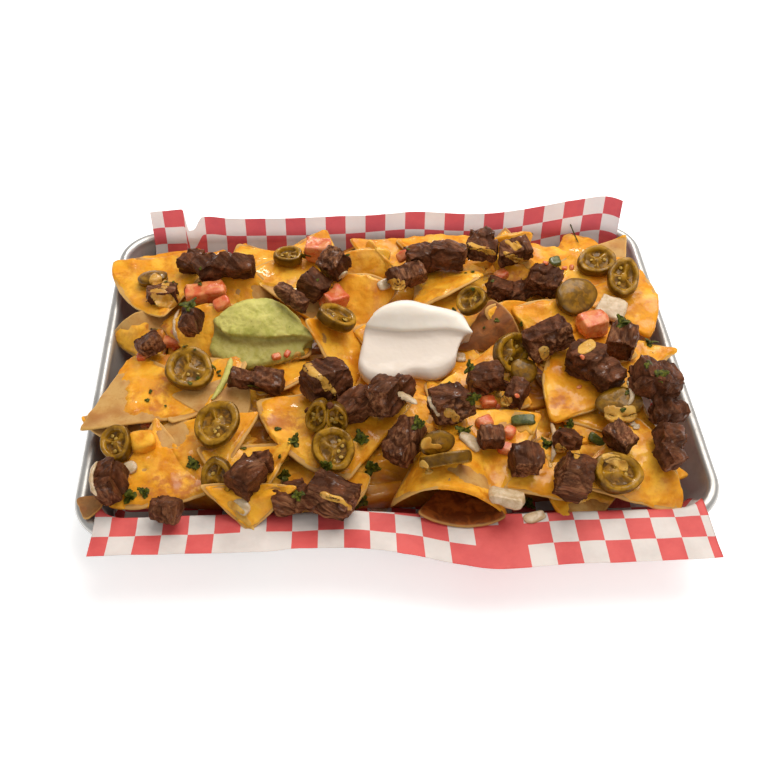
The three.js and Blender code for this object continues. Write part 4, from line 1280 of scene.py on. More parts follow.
@dataclass(frozen=True)
class ChipHeap:
    """The heap of chips: those that show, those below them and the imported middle."""

    half_length: float = 138.0
    half_width: float = 97.0
    corner_radius: float = 32.0
    chip_cover: float = 3.4
    highest: float = 28.0
    hollow: tuple[float, ...] = (23, -112, 24, 27, 27, 14)
    lower_spacing: float = 27.0
    lower_top: float = 31.0

    def showing(self) -> list[Chip]:
        """The listed chips."""
        listed = [Chip(*row[:8], k + 1, *row[8:]) for k, row in enumerate(CHIP_ROWS)]
        # a cover below 0 darkens the upper face: soaking and painted shade on chips lying in shadow
        return [replace(chip, under=max(-0.63 * chip.cover, 0.0)) for chip in listed]

    def tucked(self) -> list[Chip]:
        """The broken and folded ones between them."""
        return [
            # a cover below 0 darkens the upper face here too: soaking and painted shade
            Chip(*row[:8], 90 + k, row[8], max(-0.55 * row[8], 0.0), row[9])
            for k, row in enumerate(TUCKED_ROWS)
        ]

    def lower(self) -> list[Chip]:
        """Chips deeper in the heap, on a jittered grid, each pushed up until it meets those that show."""
        draw = np.random.default_rng(11)
        grid = self.height_map()
        step = self.lower_spacing
        x, y = np.meshgrid(np.arange(-118, 120, step), np.arange(-80, 82, step * 0.85))
        chips = []
        for k, (px, py) in enumerate(zip(x.ravel(), y.ravel())):
            px, py = px + draw.uniform(-7, 7), py + draw.uniform(-6, 6)
            # under=0.3 darkens these deeper chips: soaking and painted shade
            chip = Chip(
                px, py, 0.0, draw.uniform(-180, 180), draw.uniform(-14, 14), draw.uniform(-14, 14),
                draw.uniform(38, 50), draw.uniform(-5, 5), seed=200 + k, cover=0.42, under=0.3, steps=32,
            )
            if math.hypot((px - self.hollow[0]) / 46, (py - self.hollow[1]) / 48) > 1:
                px, py, pz = chip.body().points.T
                above = grid[self.cells(px, py)]
                room = np.where(above > 0, above - 2.8, self.lower_top) - pz
                chips.append(replace(chip, z=float(np.clip(np.quantile(room, 0.03), 19, 28))))
        return chips

    def cells(self, x: Array, y: Array) -> tuple[Array, Array]:
        """The height map's cells, 2 mm wide, that hold the places x and y."""
        return np.clip(((x + 180) / 2).astype(int), 0, 179), np.clip(((y + 130) / 2).astype(int), 0, 129)

    def beside(self, grid: Array) -> list[Array]:
        """The grid moved by one cell in each of the four directions."""
        return [np.roll(grid, shift, axis) for shift, axis in ((1, 0), (-1, 0), (1, 1), (-1, 1))]

    def height_map(self) -> Array:
        """Highest of the showing chips at each cell of a grid over the pan, 0 where there is none."""
        grid = np.zeros((180, 130))
        for chip in self.showing():
            x, y, z = chip.body().points.T
            np.maximum.at(grid, self.cells(x, y), z)
        for _ in range(2):
            grid = np.where(grid == 0, np.max(self.beside(grid), axis=0), grid)
        return grid

    def shaded(self, shapes: list[Shape]) -> list[Shape]:
        """The shapes with the deep tone, painted shade that grows with how far they lie below the mean height
        of the chips round them.
        """
        mean = self.height_map()
        mean = np.where(mean > 0, mean, 30.0)
        for _ in range(14):
            mean = sum(self.beside(mean)) / 4
        for shape in shapes:
            x, y, z = shape.points.T
            # painted shade: the deeper below the chips round about, the darker
            shape.tones["deep"] = ease(3, 11, mean[self.cells(x, y)] - z)
        return shapes

    def core(self) -> Shape:
        """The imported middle: it reaches up to just under the chips that it carries."""
        insets = np.array([9, 1, 3, 13, 25, 40, 58, 76], float)
        levels = np.array([2.4, 9.4, 16, 20, 22, 24, 26, 27])
        place = np.concatenate([[0, 0.5, 1, 1.5], np.linspace(2, 7, 34)])
        inset = np.interp(place, np.arange(8), insets)[:, None]
        band = np.interp(place, np.arange(8), levels)[:, None]
        radius = np.maximum(self.corner_radius - inset * 0.4, 8)
        half_x, half_y = self.half_length - inset - radius, np.maximum(self.half_width - inset - radius, 2)
        angle = (np.arange(150) + 0.5) / 150 * 2 * math.pi
        x = np.tanh(3.2 * np.cos(angle)) * half_x + radius * np.cos(angle)
        y = np.tanh(3.2 * np.sin(angle)) * half_y + radius * np.sin(angle)
        carried = self.height_map()[self.cells(x, y)] - self.chip_cover - 1.2
        carried = np.minimum(carried, self.highest)
        z = np.where(band > 9.5, np.maximum(band - 1.5, carried), band)
        hx, hy, hz, ax, ay, az = self.hollow
        reach = np.clip(1 - ((x - hx) / ax) ** 2 - ((y - hy) / ay) ** 2, 0, 1)
        z = np.where(reach > 0, np.minimum(z, hz - az * np.sqrt(reach)), z)
        shape = tube(np.stack([x, y, np.broadcast_to(z, x.shape)], -1))
        # painted shade: the lower the core, the darker
        shape.tones = {"deep": ease(30, 14, shape.points[:, 2])}
        crumble = fractal(shape.points, 11, 61, 3) * 2.4 * ease(5, 10, shape.points[:, 2])
        shape.points[:, 2] -= np.abs(crumble)
        return shape


# ---- steak and peppers


STEAK_NAMES = numbered("steak", 32)
PEPPER_NAMES = numbered("jalapeno", 17)


@dataclass(frozen=True)
class SteakChunks:
    """Seared cubes of beef: rough along the grain, uneven across it."""

    cell: float = 0.8
    fibre: float = 1.3
    fibre_depth: float = 0.45
    bundle: float = 3.6
    bundle_depth: float = 0.7
    lump: float = 6.0
    lump_depth: float = 1.0
    shrink: float = 0.45
    cube: float = 13.0
    cleft_depth: float = 0.85
    tucked: tuple[str, float, float, float] = ("steak_07", 2.0, 5.0, -1.5)

    def chunk(self, name: str, seed: int) -> Shape:
        """One solid with its skin rebuilt and pushed out and in by two noises along its normals."""
        draw = np.random.default_rng(seed)
        along = unit(draw.normal(size=3) * [1, 1, 0.35])
        shape = remeshed(node_shape(name), self.cell, 2)
        lump = fractal(shape.points, self.lump, seed + 40, 2)
        across = shape.points - 0.86 * (shape.points @ along)[:, None] * along + 0.8 * lump[:, None]
        ridge = fractal(across, self.fibre, seed, 2)
        bundle = 1 - 2.2 * np.abs(lattice(across, self.bundle, seed + 80))
        cleft = self.clefts(shape.points + 2.4 * lump[:, None])
        push = self.fibre_depth * ridge + self.bundle_depth * (bundle - 0.6) + self.lump_depth * lump
        push -= self.cleft_depth * cleft + self.shrink
        normals = shape.normals()
        shape.pushed(push)
        cut = draw.normal(size=3) * [1, 1, 0.8] - [0, 0.5, -0.3]
        facing = normals @ unit(cut) + 0.35 * lump
        # ridge: painted highlight on raised fibres and bundles; groove: painted shade in seams and between
        # bundles
        shape.tones = {
            "ridge": np.clip(0.2 + 0.5 * ridge + 0.4 * bundle, 0, 1),
            "groove": np.clip(0.9 * cleft + 0.9 * ease(0.1, -0.7, bundle), 0, 1),
            "fresh": ease(0.1, 0.75, facing) * draw.uniform(0.5, 1),
        }
        shape.tones |= {f"grain_{axis}": across[:, k] * MM for k, axis in enumerate("XYZ")}
        if name == self.tucked[0]:
            shape.points = shape.points + self.tucked[1:]
        return shape

    def clefts(self, points: Array) -> Array:
        """1 along the seams where cubes of about the cube's size press together, falling to 0 beside them.

        The cubes' middles are the points farthest from one another; a seam is where the nearest two
        middles are equally far away.
        """
        low, high = points.min(0), points.max(0)
        extent = np.maximum((high - low) / self.cube, 1)
        count = int(np.clip(round(float(extent[0] * extent[1])), 1, 7))
        if count == 1:
            return np.zeros(len(points))
        chosen = [points[np.argmin(points @ np.array([1.0, 0.7, 0.2]))]]
        gap = np.full(len(points), np.inf)
        for _ in range(count - 1):
            gap = np.minimum(gap, np.linalg.norm(points - chosen[-1], axis=1))
            chosen.append(points[np.argmax(gap)])
        middles = np.array(chosen) * 0.6 + (low + high) / 2 * 0.4
        apart = np.sort(np.linalg.norm(points[:, None] - middles, axis=2), axis=1)
        return bell(0, 0.9, apart[:, 1] - apart[:, 0])

    def build(self) -> list[Shape]:
        """Every chunk."""
        return [self.chunk(name, 500 + k) for k, name in enumerate(STEAK_NAMES)]


class PepperCut(Enum):
    """Kinds of pepper slice."""

    RING = "ring"
    END = "end"


@dataclass(frozen=True)
class PepperSlice:
    """A slice of pickled pepper: skin, flesh wall, ribs and seeds; or the pepper's closed end."""

    centre: Spot
    axes: Rows
    half: Spot
    cut: PepperCut
    seed: int
    steps: int = 60
    wall: float = 0.66

    def waves(self, angle: Array) -> Array:
        """Radius round the slice: a few low lobes."""
        draw = np.random.default_rng(self.seed)
        a, b, c = draw.uniform(0, 6.28, 3)
        low = 0.035 * np.sin(2 * angle + a) + 0.03 * np.sin(3 * angle + b)
        return 1 + low + 0.012 * np.sin(7 * angle + c)

    def build(self) -> Shape:
        """Rings from the middle of one face over the skin to the middle of the other."""
        angle = np.arange(self.steps) / self.steps * 2 * math.pi
        phase = np.random.default_rng(self.seed + 5).uniform(0, 6.28)
        w, ring = self.wall, self.cut is PepperCut.RING
        if ring:
            radius = [0.03, 0.14, 0.26, 0.4, 0.54, w - 0.03, w, w + 0.03, 0.8, 0.87, 0.92, 0.95, 0.98, 1.0]
            level = [0.06, 0.06, 0.05, 0.05, 0.06, 0.1, 0.5, 0.88, 1.0, 1.0, 0.96, 0.88, 0.66, 0.3]
            radius, level = np.array(radius)[:, None], np.array(level)[:, None]
            rib = np.abs(np.cos(1.5 * (angle + phase) + 0.35 * np.sin(2 * angle + self.seed))) ** 9
            held = (radius < w) * np.maximum(rib * ease(0.02, 0.3, radius), ease(0.3, 0.1, radius))
            tops = level + 0.6 * held
            skin = ease(0.93, 0.965, radius)
            # hollow tone: the middle inside the wall, painted as shade and brine
            hollow = (radius < w) * (1 - held)
        else:
            radius = np.array([0.04, 0.2, 0.36, 0.5, 0.62, 0.74, 0.84, 0.91, 0.96, 0.985, 1.0])[:, None]
            tops = 0.35 + 0.75 * np.sqrt(np.clip(1 - radius**2, 0, 1)) + 0 * angle
            skin = 0.2 + 0.8 * ease(0.7, 0.95, radius)
            # hollow tone: the middle of the end, painted as shade and brine
            hollow = 0.75 * ease(0.95, 0.45, radius) + 0 * angle
        radius, skin, hollow = (np.concatenate([a, a[::-1]]) for a in (radius, skin, hollow))
        levels = np.concatenate([tops, -tops[::-1] if ring else np.full_like(tops, -0.5)])
        waves = self.waves(angle)
        a, b, t = self.half
        rings = [radius * np.cos(angle) * waves * a, radius * np.sin(angle) * waves * b, levels * t]
        shape = tube(np.stack(rings, -1), {"skin": skin + 0 * angle, "hollow": hollow})
        bend = fractal(shape.points + self.seed * 10.0, 8, self.seed, 2)
        shape.points = shape.points + np.stack([0 * bend, 0 * bend, 0.5 * bend], 1)
        parts = [shape, *self.seeds()] if ring else [shape]
        return joined(parts).moved(self.axes, self.centre)

    def seeds(self) -> list[Shape]:
        """Flat round seeds lying in the chambers between the ribs."""
        draw = np.random.default_rng(self.seed + 9)
        a, b, t = self.half
        parts = []
        for _ in range(int(draw.integers(2, 7))):
            angle, out = draw.uniform(0, 6.28), draw.uniform(0.2, self.wall * 0.8)
            place = [out * a * math.cos(angle), out * b * math.sin(angle), 0.2 * t + draw.uniform(0, 0.4)]
            axes = turned_axes(draw.uniform(0, 360), draw.uniform(-25, 25), draw.uniform(-25, 25))
            seed = lump(2.5, 2.0, 0.8, 1.0, 6, 10).moved(axes, place)
            seed.tones = {"seed": np.ones(len(seed.points)), "skin": np.zeros(len(seed.points))}
            parts.append(seed)
        return parts


@dataclass(frozen=True)
class PickledSlices:
    """All the pepper slices, each lying where its solid lies."""

    ends: tuple[str, ...] = ("jalapeno_01", "jalapeno_13", "jalapeno_15", "jalapeno_14.1", "jalapeno_17.1")
    pairs: tuple[tuple[str, Path], ...] = (
        ("jalapeno_09", ((-41, -65), (-32, -67))),
        ("jalapeno_14", ((65, -19), (73, -29))),
        ("jalapeno_17", ((21, -97), (19, -85))),
    )

    def build(self) -> list[Shape]:
        """One slice for each solid, or two where two lie together."""
        pairs, slices = dict(self.pairs), []
        for k, name in enumerate(PEPPER_NAMES):
            points = node_shape(name).points
            groups = [points]
            if name in pairs:
                gap = [np.linalg.norm(points[:, :2] - centre, axis=1) for centre in pairs[name]]
                groups = [points[gap[0] <= gap[1]], points[gap[1] < gap[0]]]
            for part, group in enumerate(groups):
                end = (name if part == 0 else f"{name}.{part}") in self.ends
                cut = PepperCut.END if end else PepperCut.RING
                slices.append(self.fitted(group, cut, 700 + 7 * k + part))
        return slices

    def fitted(self, points: Array, cut: PepperCut, seed: int) -> Shape:
        """The slice whose axes are the main axes of the points and whose size is their extent."""
        middle = points.mean(0)
        _, _, axes = np.linalg.svd(points - middle, full_matrices=False)
        if axes[2, 2] < 0:
            axes[2] *= -1
        if np.linalg.det(axes) < 0:
            axes[1] *= -1
        local = (points - middle) @ axes.T
        centre = middle + (local.max(0) + local.min(0)) / 2 @ axes
        half = np.maximum(np.ptp(local, axis=0) / 2, [6, 5, 2.0])
        half[2] = min(half[2], 3.2)
        return PepperSlice(tuple(centre), tuple(map(tuple, axes)), tuple(half), cut, seed).build()


# ---- scoops


@dataclass(frozen=True)
class Scoop:
    """A spooned dollop: rows of places from its foot over its lip and crown, closed behind and below.

    A row runs from left to right and holds each place's image x, image y and height in millimetres.
    """

    rows: tuple[tuple[Spot, ...], ...]
    seed: int
    cell: float = 0.62
    smoothing: int = 2
    fold: float = 9.0
    fold_depth: float = 0.3
    lump: float = 3.0
    lump_depth: float = 0.08
    # painted shade below the lip: the darkest band's middle height and width, and below's share on all lower
    recess: tuple[float, float] = (38.8, 1.2)
    lip: float = 41.2
    below: float = 0.88
    behind: tuple[Spot, ...] = ((0, 2.5, -1.2), (0, 4.8, -3.8), (0, 6.5, -8), (0, 7, -14), (0, 6, -20))
    beside: tuple[Spot, ...] = ((0.5, 0.8, -1.6), (1.8, 1.5, -6), (3.0, 1.5, -13))

    def sheet(self) -> Array:
        """The rows at their heights, with a foot, a back and two sides, shape (rows, places, 3)."""
        rows = np.array(self.rows)
        rays = VIEW.rays(rows[..., :2])
        reach = (rows[..., 2] - VIEW.place[2]) / rays[..., 2]
        places = np.array(VIEW.place) + rays * reach[..., None]
        foot, back = places[:1] + [0, 2.5, -4.0], places[-1] + np.array(self.behind)[:, None]
        places = np.concatenate([foot, places, back]).transpose(1, 0, 2)
        side = np.array(self.beside)[:, None]
        left, right = places[0] + side[::-1], places[-1] + side * [-1, 1, 1]
        return refined(np.concatenate([left, places, right]), 96, 12).transpose(1, 0, 2)

    def build(self) -> Shape:
        """The sheet shut by a fan to a hub below it, its skin rebuilt and roughened by two noises.

        The recess tone is painted shade: 1 in the hollow below the lip and below's share on all that lies
        lower.
        """
        sheet = refined(self.sheet(), 90, 3)
        rows, columns = sheet.shape[:2]
        rim, points = rim_of(rows, columns), sheet.reshape(-1, 3)
        hub = points[rim].mean(0) * [1, 1, 0] + [0, 0, points[:, 2].min() - 1]
        fan = np.stack([rim, np.roll(rim, -1), np.full(len(rim), len(points))], 1)
        faces = np.concatenate([grid_faces(rows, columns, False), fan])
        shape = remeshed(Shape(np.concatenate([points, [hub]]), faces).outward(), self.cell, self.smoothing)
        folds = fractal(shape.points * [0.55, 1, 1.3], self.fold, self.seed, 2)
        lumps = fractal(shape.points, self.lump, self.seed + 20, 2)
        z = shape.pushed(self.fold_depth * folds + self.lump_depth * lumps).points[:, 2]
        # painted shade: darker under the lip and on all that lies lower
        low, hollow = ease(self.lip, self.lip - 1.6, z), bell(*self.recess, z)
        shape.tones = {"recess": self.below * low + (1 - self.below) * hollow}
        return shape


GUACAMOLE = Scoop(
    rows=(
        ((212, 357, 32), (222, 362, 32), (237, 370, 32), (252, 369.5, 32), (267, 367, 32), (281, 363, 32),
         (293, 359, 32), (306, 355.5, 32)),
        ((209.5, 350, 35), (221, 356, 35), (236, 364, 35), (252, 364, 35), (267, 361.5, 35), (281, 357.5, 35),
         (293, 354, 35), (305.5, 352, 35)),
        ((211, 340, 36.4), (222, 345.5, 36.4), (234, 352, 36.2), (252, 354, 36.2), (267, 352.5, 36.2),
         (281, 350, 36.2), (293, 348.5, 36.2), (304, 348.5, 36)),
        ((213, 335, 37), (223, 340.5, 36.8), (236, 347, 36.6), (252, 348.5, 36.6), (267, 348, 36.6),
         (281, 346, 36.6), (294, 344.5, 36.6), (306, 344, 36.6)),
        ((213.5, 321, 39.6), (219.5, 329, 39.6), (227, 335.8, 39.6), (250, 336.2, 39.6), (266, 338.4, 39.6),
         (283, 337.4, 39.6), (299, 336, 39.6), (314.5, 339.6, 39.6)),
        ((212.2, 318.6, 41.5), (217.6, 327.4, 41.8), (225.5, 334.6, 42), (250, 334.9, 42), (266, 337.2, 42),
         (284, 336.2, 42), (300, 334.6, 41.6), (317, 338.2, 41)),
        ((214, 317, 42.5), (221, 321, 43.8), (231, 326, 44.5), (250, 327, 44.8), (266, 328.5, 44.8),
         (283, 328, 44.5), (298, 328, 43.5), (312, 333, 41.5)),
        ((217, 315, 43.5), (225, 314, 46), (236, 315.5, 48), (250, 316, 48.5), (266, 317, 48.5),
         (281, 318, 47.5), (293, 320.5, 45.5), (308, 328.5, 42)),
        ((219.5, 313.5, 44), (228, 308.5, 47.5), (239, 306.5, 50), (251, 304.5, 51), (265, 304.5, 51),
         (278, 307.5, 49.5), (289, 313, 46.5), (304, 325, 42.5)),
        ((221, 312.5, 44), (230, 307, 47.8), (243, 301.2, 50.4), (253, 298.8, 51.4), (265, 298.7, 51.4),
         (276, 301, 49.8), (288, 308.5, 46.5), (302, 322, 42.5)),
    ),
    seed=31,
    fold=6.5,
    fold_depth=0.85,
    lump=2.4,
    lump_depth=0.5,
    recess=(38.0, 1.3),
    below=0.5,
)

SOUR_CREAM = Scoop(
    rows=(
        ((359, 373, 31.5), (367, 383, 31.5), (378, 386, 31.5), (398, 385, 31.5), (412, 376, 31.5),
         (431, 381, 31.5), (446, 377, 31.5), (455.5, 366, 32)),
        ((357.5, 367, 34.6), (364, 377, 34.8), (378, 380.5, 34.8), (397, 379, 34.8), (412, 371, 34.2),
         (430, 374.5, 34.6), (445, 370.5, 34.6), (457, 361, 34.6)),
        ((358, 360, 36.6), (364, 369, 37), (378, 372.5, 37), (396, 371, 37), (412, 365.5, 36.3),
         (430, 367, 36.8), (444, 363, 36.8), (458, 354, 36.4)),
        ((360, 351, 37), (366, 360, 36.8), (380, 363, 36.2), (396, 361, 36), (412, 357, 35.8),
         (430, 358, 36), (445, 354, 36.5), (459.5, 347, 36.8)),
        ((361.8, 342, 38), (368, 349, 37.2), (382, 351, 36.6), (398, 350, 36.4), (412, 349, 36.4),
         (430, 348, 36.6), (447, 345, 37.2), (462, 341, 37.8)),
        ((363, 334, 38.6), (370, 337, 38), (384, 339, 37.6), (398, 340, 37.5), (412, 340, 37.5),
         (430, 339, 37.6), (448, 337, 38), (465, 336, 38.6)),
        ((364.5, 327.6, 40), (373, 328.8, 40), (385, 330.2, 40), (399, 331.6, 40), (412, 331.8, 40),
         (430, 330.6, 40), (449, 329.4, 40), (471, 333.4, 40.4)),
        ((364.8, 325.6, 41.5), (373, 326.9, 41.9), (385.4, 328.3, 41.9), (399, 329.8, 41.9), (412, 330, 41.9),
         (430.8, 328.8, 41.9), (450, 327.6, 41.8), (475, 332.3, 41.4)),
        ((366, 323, 43), (375, 321.5, 44.4), (387, 321.5, 45), (400, 322, 45.2), (412, 322, 45.2),
         (430, 321.5, 44.9), (450, 321.5, 44), (471, 327.5, 42.4)),
        ((368.5, 319.5, 44.8), (377, 315.2, 47.2), (388, 313, 49), (400, 312.5, 49.5), (412, 312.5, 49.5),
         (429, 313.8, 48.4), (451, 314.6, 46.4), (468, 322, 43.4)),
        ((371, 316.5, 46), (379, 310.3, 49), (390, 306.4, 51.2), (401, 305.4, 51.8), (412, 305.6, 51.8),
         (429, 309.4, 49.8), (451, 311.2, 47.2), (466, 318, 44)),
        ((372.5, 315.5, 46.4), (381, 308.2, 49.6), (393, 302.8, 52), (403, 301.3, 52.5), (412, 301.3, 52.5),
         (428, 306.2, 50.2), (450, 310, 47.3), (464, 315.6, 44.4)),
    ),
    seed=47,
)


# ---- small toppings


def cut_piece(name: str, seed: int) -> Shape:
    """A solid of cut vegetable with its edges softened and its faces made uneven by noise."""
    shape = remeshed(node_shape(name), 0.8, 7)
    return shape.pushed(1.1 * fractal(shape.points, 6.5, 900 + seed, 2))


@dataclass(frozen=True)
class Dice:
    """Diced vegetable laid where it shows: image x, y, width and height of each piece, and its turn."""

    spots: Rows
    seed: int
    flatness: float = 0.8
    sink: float = 0.3
    square: float = 0.5

    def build(self, ground: Ground) -> list[Shape]:
        """Each piece is pressed a little into what the camera sees at its spot."""
        spots = np.array(self.spots)
        places, normals = ground.seen(spots[:, :2])
        far = np.linalg.norm(places - np.array(VIEW.place), axis=1) / VIEW.focal
        pieces = []
        for k, (place, normal) in enumerate(zip(places, normals)):
            length, width = spots[k, 2] * far[k], spots[k, 3] * far[k] * 1.15
            height = min(length, width) * self.flatness
            piece = lump(length, width, height, self.square)
            piece.points *= 1 + 0.26 * fractal(piece.points + 40.0 * k, 5.0, self.seed + k, 2)[:, None]
            axes = axes_on(normal, math.radians(spots[k, 4]), 0.3)
            pieces.append(piece.moved(axes, place + axes[2] * height * (0.5 - self.sink)))
        return pieces


@dataclass(frozen=True)
class Slivers:
    """Thin curved strips lying where they show: paths of image spots, with a width in millimetres."""

    paths: tuple[tuple[float, Path], ...]
    height: float = 0.8
    lift: float = 0.5
    droop: float = 2.2
    samples: int = 26

    def build(self, ground: Ground) -> list[Shape]:
        """Each strip is one smooth bend that rests on the higher places of the ground along its path."""
        strips = []
        share = np.linspace(-1, 1, self.samples)
        slim = np.sqrt(np.clip(1 - np.abs(share) ** 3, 0.03, 1))
        for width, path in self.paths:
            places, normals = ground.seen(bent(path, self.samples))
            places = near_level(places, np.quantile(places[:, 2], 0.6), self.droop)
            up = unit(normals.mean(0) + [0, 0, 0.6])
            curve = np.vander(share, 3) @ np.polyfit(share, places, 2)
            curve += up * max(float(np.quantile((places - curve) @ up, 0.8)), 0.0)
            swell = 1 + 0.5 * fractal(places, 3.5, 91, 2)
            strips.append(cord_path(
                curve + up * self.lift * self.height, width / 2 * slim * swell, self.height * slim,
                np.broadcast_to(up, curve.shape),
            ))
        return strips


def bent(path: Path, samples: int) -> Array:
    """Image spots along a path with its corners smoothed, shape (samples, 2)."""
    return refined(np.array(path, float), samples, 4)


@dataclass(frozen=True)
class Drapes:
    """Thin queso run over whatever it crosses: image paths, each with a width in image units."""

    paths: tuple[tuple[float, Path], ...]
    thickness: float = 0.2
    sunk: float = 0.9
    spread: float = 1.3
    samples: int = 34
    across: int = 11
    step: float = 2.2
    droop: float = 2.2

    def build(self, ground: Ground) -> list[Shape]:
        """Each ribbon lies on what the camera sees at its spots.

        It breaks off where its middle line steps up or down by more than step, and its edges keep
        within droop of that line's height, so that none of it hangs down behind what it lies on.
        """
        share = np.linspace(-1, 1, self.across)
        ribbons = []
        for k, (width, path) in enumerate(self.paths):
            line = bent(path, self.samples)
            way = unit(np.gradient(line, axis=0))
            side = np.stack([-way[:, 1], way[:, 0]], 1)
            swell = self.spread * (1 + 0.65 * lattice(flat(*line.T, k * 9.0), 6, 95))
            level = ground.seen(line)[0][:, 2]
            for run in np.split(np.arange(self.samples), np.where(np.abs(np.diff(level)) > self.step)[0] + 1):
                if len(run) > 6:
                    slim = np.sqrt(np.clip(1 - np.linspace(-1, 1, len(run)) ** 4, 0.02, 1))
                    half = (width / 2 * slim * swell[run])[:, None]
                    spots = line[run][:, None] + side[run][:, None] * (share[None] * half)[..., None]
                    ribbons.append(self.ribbon(ground, spots, level[run], slim))
        return ribbons

    def ribbon(self, ground: Ground, spots: Array, level: Array, slim: Array) -> Shape:
        """One unbroken ribbon over its spots, shape (places along, places across, 2)."""
        places, normals = ground.seen(spots.reshape(-1, 2))
        places = near_level(places, np.repeat(level, spots.shape[1]), self.droop).reshape(*spots.shape[:2], 3)
        normals = normals.reshape(places.shape)
        for _ in range(2):
            places = smoothed(smoothed(places).transpose(1, 0, 2)).transpose(1, 0, 2)
        share = np.linspace(-1, 1, spots.shape[1])
        rise = self.thickness * (0.4 + 1.4 * np.sqrt(np.clip(1 - share**2, 0, 1))) * slim[:, None]
        top, bottom = places + normals * rise[..., None], places - normals * self.sunk
        return tube(np.concatenate([top, bottom[:, ::-1]], axis=1))


@dataclass(frozen=True)
class Crumbs:
    """Small bits dropped over the heap from above: how many, and their least and greatest length."""

    count: int
    least: float
    most: float
    seed: int
    half_length: float = 132.0
    half_width: float = 88.0
    square: float = 0.8
    scoops: Rows = ((12, -2, 36, 32), (-74, 4, 34, 28))

    def plan(self) -> Array:
        """Random plan places, drawn together in small clusters."""
        draw = np.random.default_rng(self.seed)
        middles = draw.uniform(-1, 1, (max(self.count // 3, 1), 2))
        chosen = middles[draw.integers(0, len(middles), self.count)] + draw.normal(0, 0.05, (self.count, 2))
        spots = np.clip(chosen, -1, 1) * [self.half_length, self.half_width]
        return spots[within(self.scoops, spots, 0) < 0.5]

    def build(self, ground: Ground) -> list[Shape]:
        """Each bit is a lump lying where it falls."""
        draw = np.random.default_rng(self.seed + 1)
        places, normals = ground.below(self.plan())
        bits = []
        for k, (place, normal) in enumerate(zip(places, normals)):
            size = draw.uniform(self.least, self.most)
            bit = lump(size, size * draw.uniform(0.5, 0.9), size * draw.uniform(0.3, 0.6), self.square)
            bit.points *= 1 + 0.4 * fractal(bit.points + 30.0 * k, 1.6, self.seed + k, 2)[:, None]
            axes = axes_on(normal, draw.uniform(0, 6.28), 0.1)
            bits.append(bit.moved(axes, place + axes[2] * size * 0.1))
        return bits


@dataclass(frozen=True)
class Leaves:
    """Chopped coriander leaves: image x, y and length in millimetres, and turn."""

    spots: Rows
    loose: Crumbs = Crumbs(80, 1.6, 4.6, 871)
    thickness: float = 0.35

    def sprig(self, size: float, seed: int) -> list[Shape]:
        """A leaf of the given size with two smaller ones beside it, tipped up."""
        draw = np.random.default_rng(seed)
        leaves = [self.leaf(size, seed)]
        for turn in (draw.uniform(60, 150), draw.uniform(210, 300)):
            axes = turned_axes(turn, draw.uniform(15, 50), draw.uniform(-30, 30))
            leaves.append(self.leaf(0.7 * size, seed + 50).moved(axes, np.array([0.3 * size, 0, 0.5]) @ axes))
        return leaves

    def leaf(self, size: float, seed: int) -> Shape:
        """A lobed, toothed leaf: radius by angle, domed and crumpled, with a rounded edge."""
        angle = np.arange(30) / 30 * 2 * math.pi
        lobes = 0.58 + 0.42 * np.abs(np.cos(1.5 * angle)) ** 0.7 + 0.07 * np.sin(9 * angle + seed)
        shares = np.array([0.1, 0.4, 0.7, 0.92, 1.0, 0.92, 0.7, 0.4, 0.1])
        x = shares[:, None] * np.cos(angle) * lobes * size / 2
        y = shares[:, None] * np.sin(angle) * lobes * size * 0.36
        crumple = fractal(flat(x, y, seed * 9.0), 3.0, seed, 2)
        face = np.array([-1, -1, -1, -0.8, 0, 0.8, 1, 1, 1])[:, None] * self.thickness / 2
        z = face + 0.7 * crumple - 0.02 * (x**2 + y**2)
        vein = np.broadcast_to(np.abs(np.cos(1.5 * angle)) ** 12, x.shape)
        return tube(np.stack([x, y, z], -1), {"vein": vein})

    def build(self, ground: Ground) -> list[Shape]:
        """Each leaf lies on what the camera sees at its spot; loose bits lie where they fall."""
        spots = np.array(self.spots)
        places, normals = ground.seen(spots[:, :2])
        loose = self.loose.plan()
        more, upright = ground.below(loose)
        draw = np.random.default_rng(self.loose.seed)
        sizes = draw.uniform(self.loose.least, self.loose.most, len(loose))
        extra = np.concatenate([loose, sizes[:, None], draw.uniform(0, 360, (len(loose), 1))], 1)
        spots, places = np.concatenate([spots, extra]), np.concatenate([places, more])
        normals = np.concatenate([normals, upright])
        return [
            leaf.moved(axes_on(normal, math.radians(turn), 0.2), place + 0.5 * normal)
            for k, ((_, _, size, turn), place, normal) in enumerate(zip(spots, places, normals))
            for leaf in (self.sprig(1.15 * size, k + 1) if size > 5 else [self.leaf(size, k + 1)])
        ]


TOMATO_DICE = Dice(
    spots=(
        (223, 305, 17, 12, 20), (173, 343, 12, 15, 80), (488, 403, 16, 11, 10), (485, 424, 17, 12, 25),
        (509, 434, 14, 11, 60), (508, 450, 20, 11, -15), (404, 256, 14, 9, 5), (502, 276, 14, 10, 30),
        (142, 358, 9, 8, 0), (147, 427, 12, 8, 10), (276, 357, 9, 6, 20), (287, 354, 8, 5, 60),
    ),
    seed=811,
)
ONION_DICE = Dice(
    spots=(
        (130, 468, 14, 12, 20), (343, 276, 14, 10, 0), (384, 285, 16, 10, 30), (536, 517, 24, 11, 20),
        (242, 507, 15, 17, 50), (379, 508, 17, 10, -10), (460, 358, 12, 10, 0), (470, 442, 26, 13, -40),
    ),
    seed=821,
    flatness=0.35,
    square=0.75,
)
PEPPER_DICE = Dice(
    spots=((555, 263, 12, 11, 10), (524, 421, 24, 10, -8), (599, 442, 26, 8, -20)),
    seed=831,
    flatness=0.6,
)
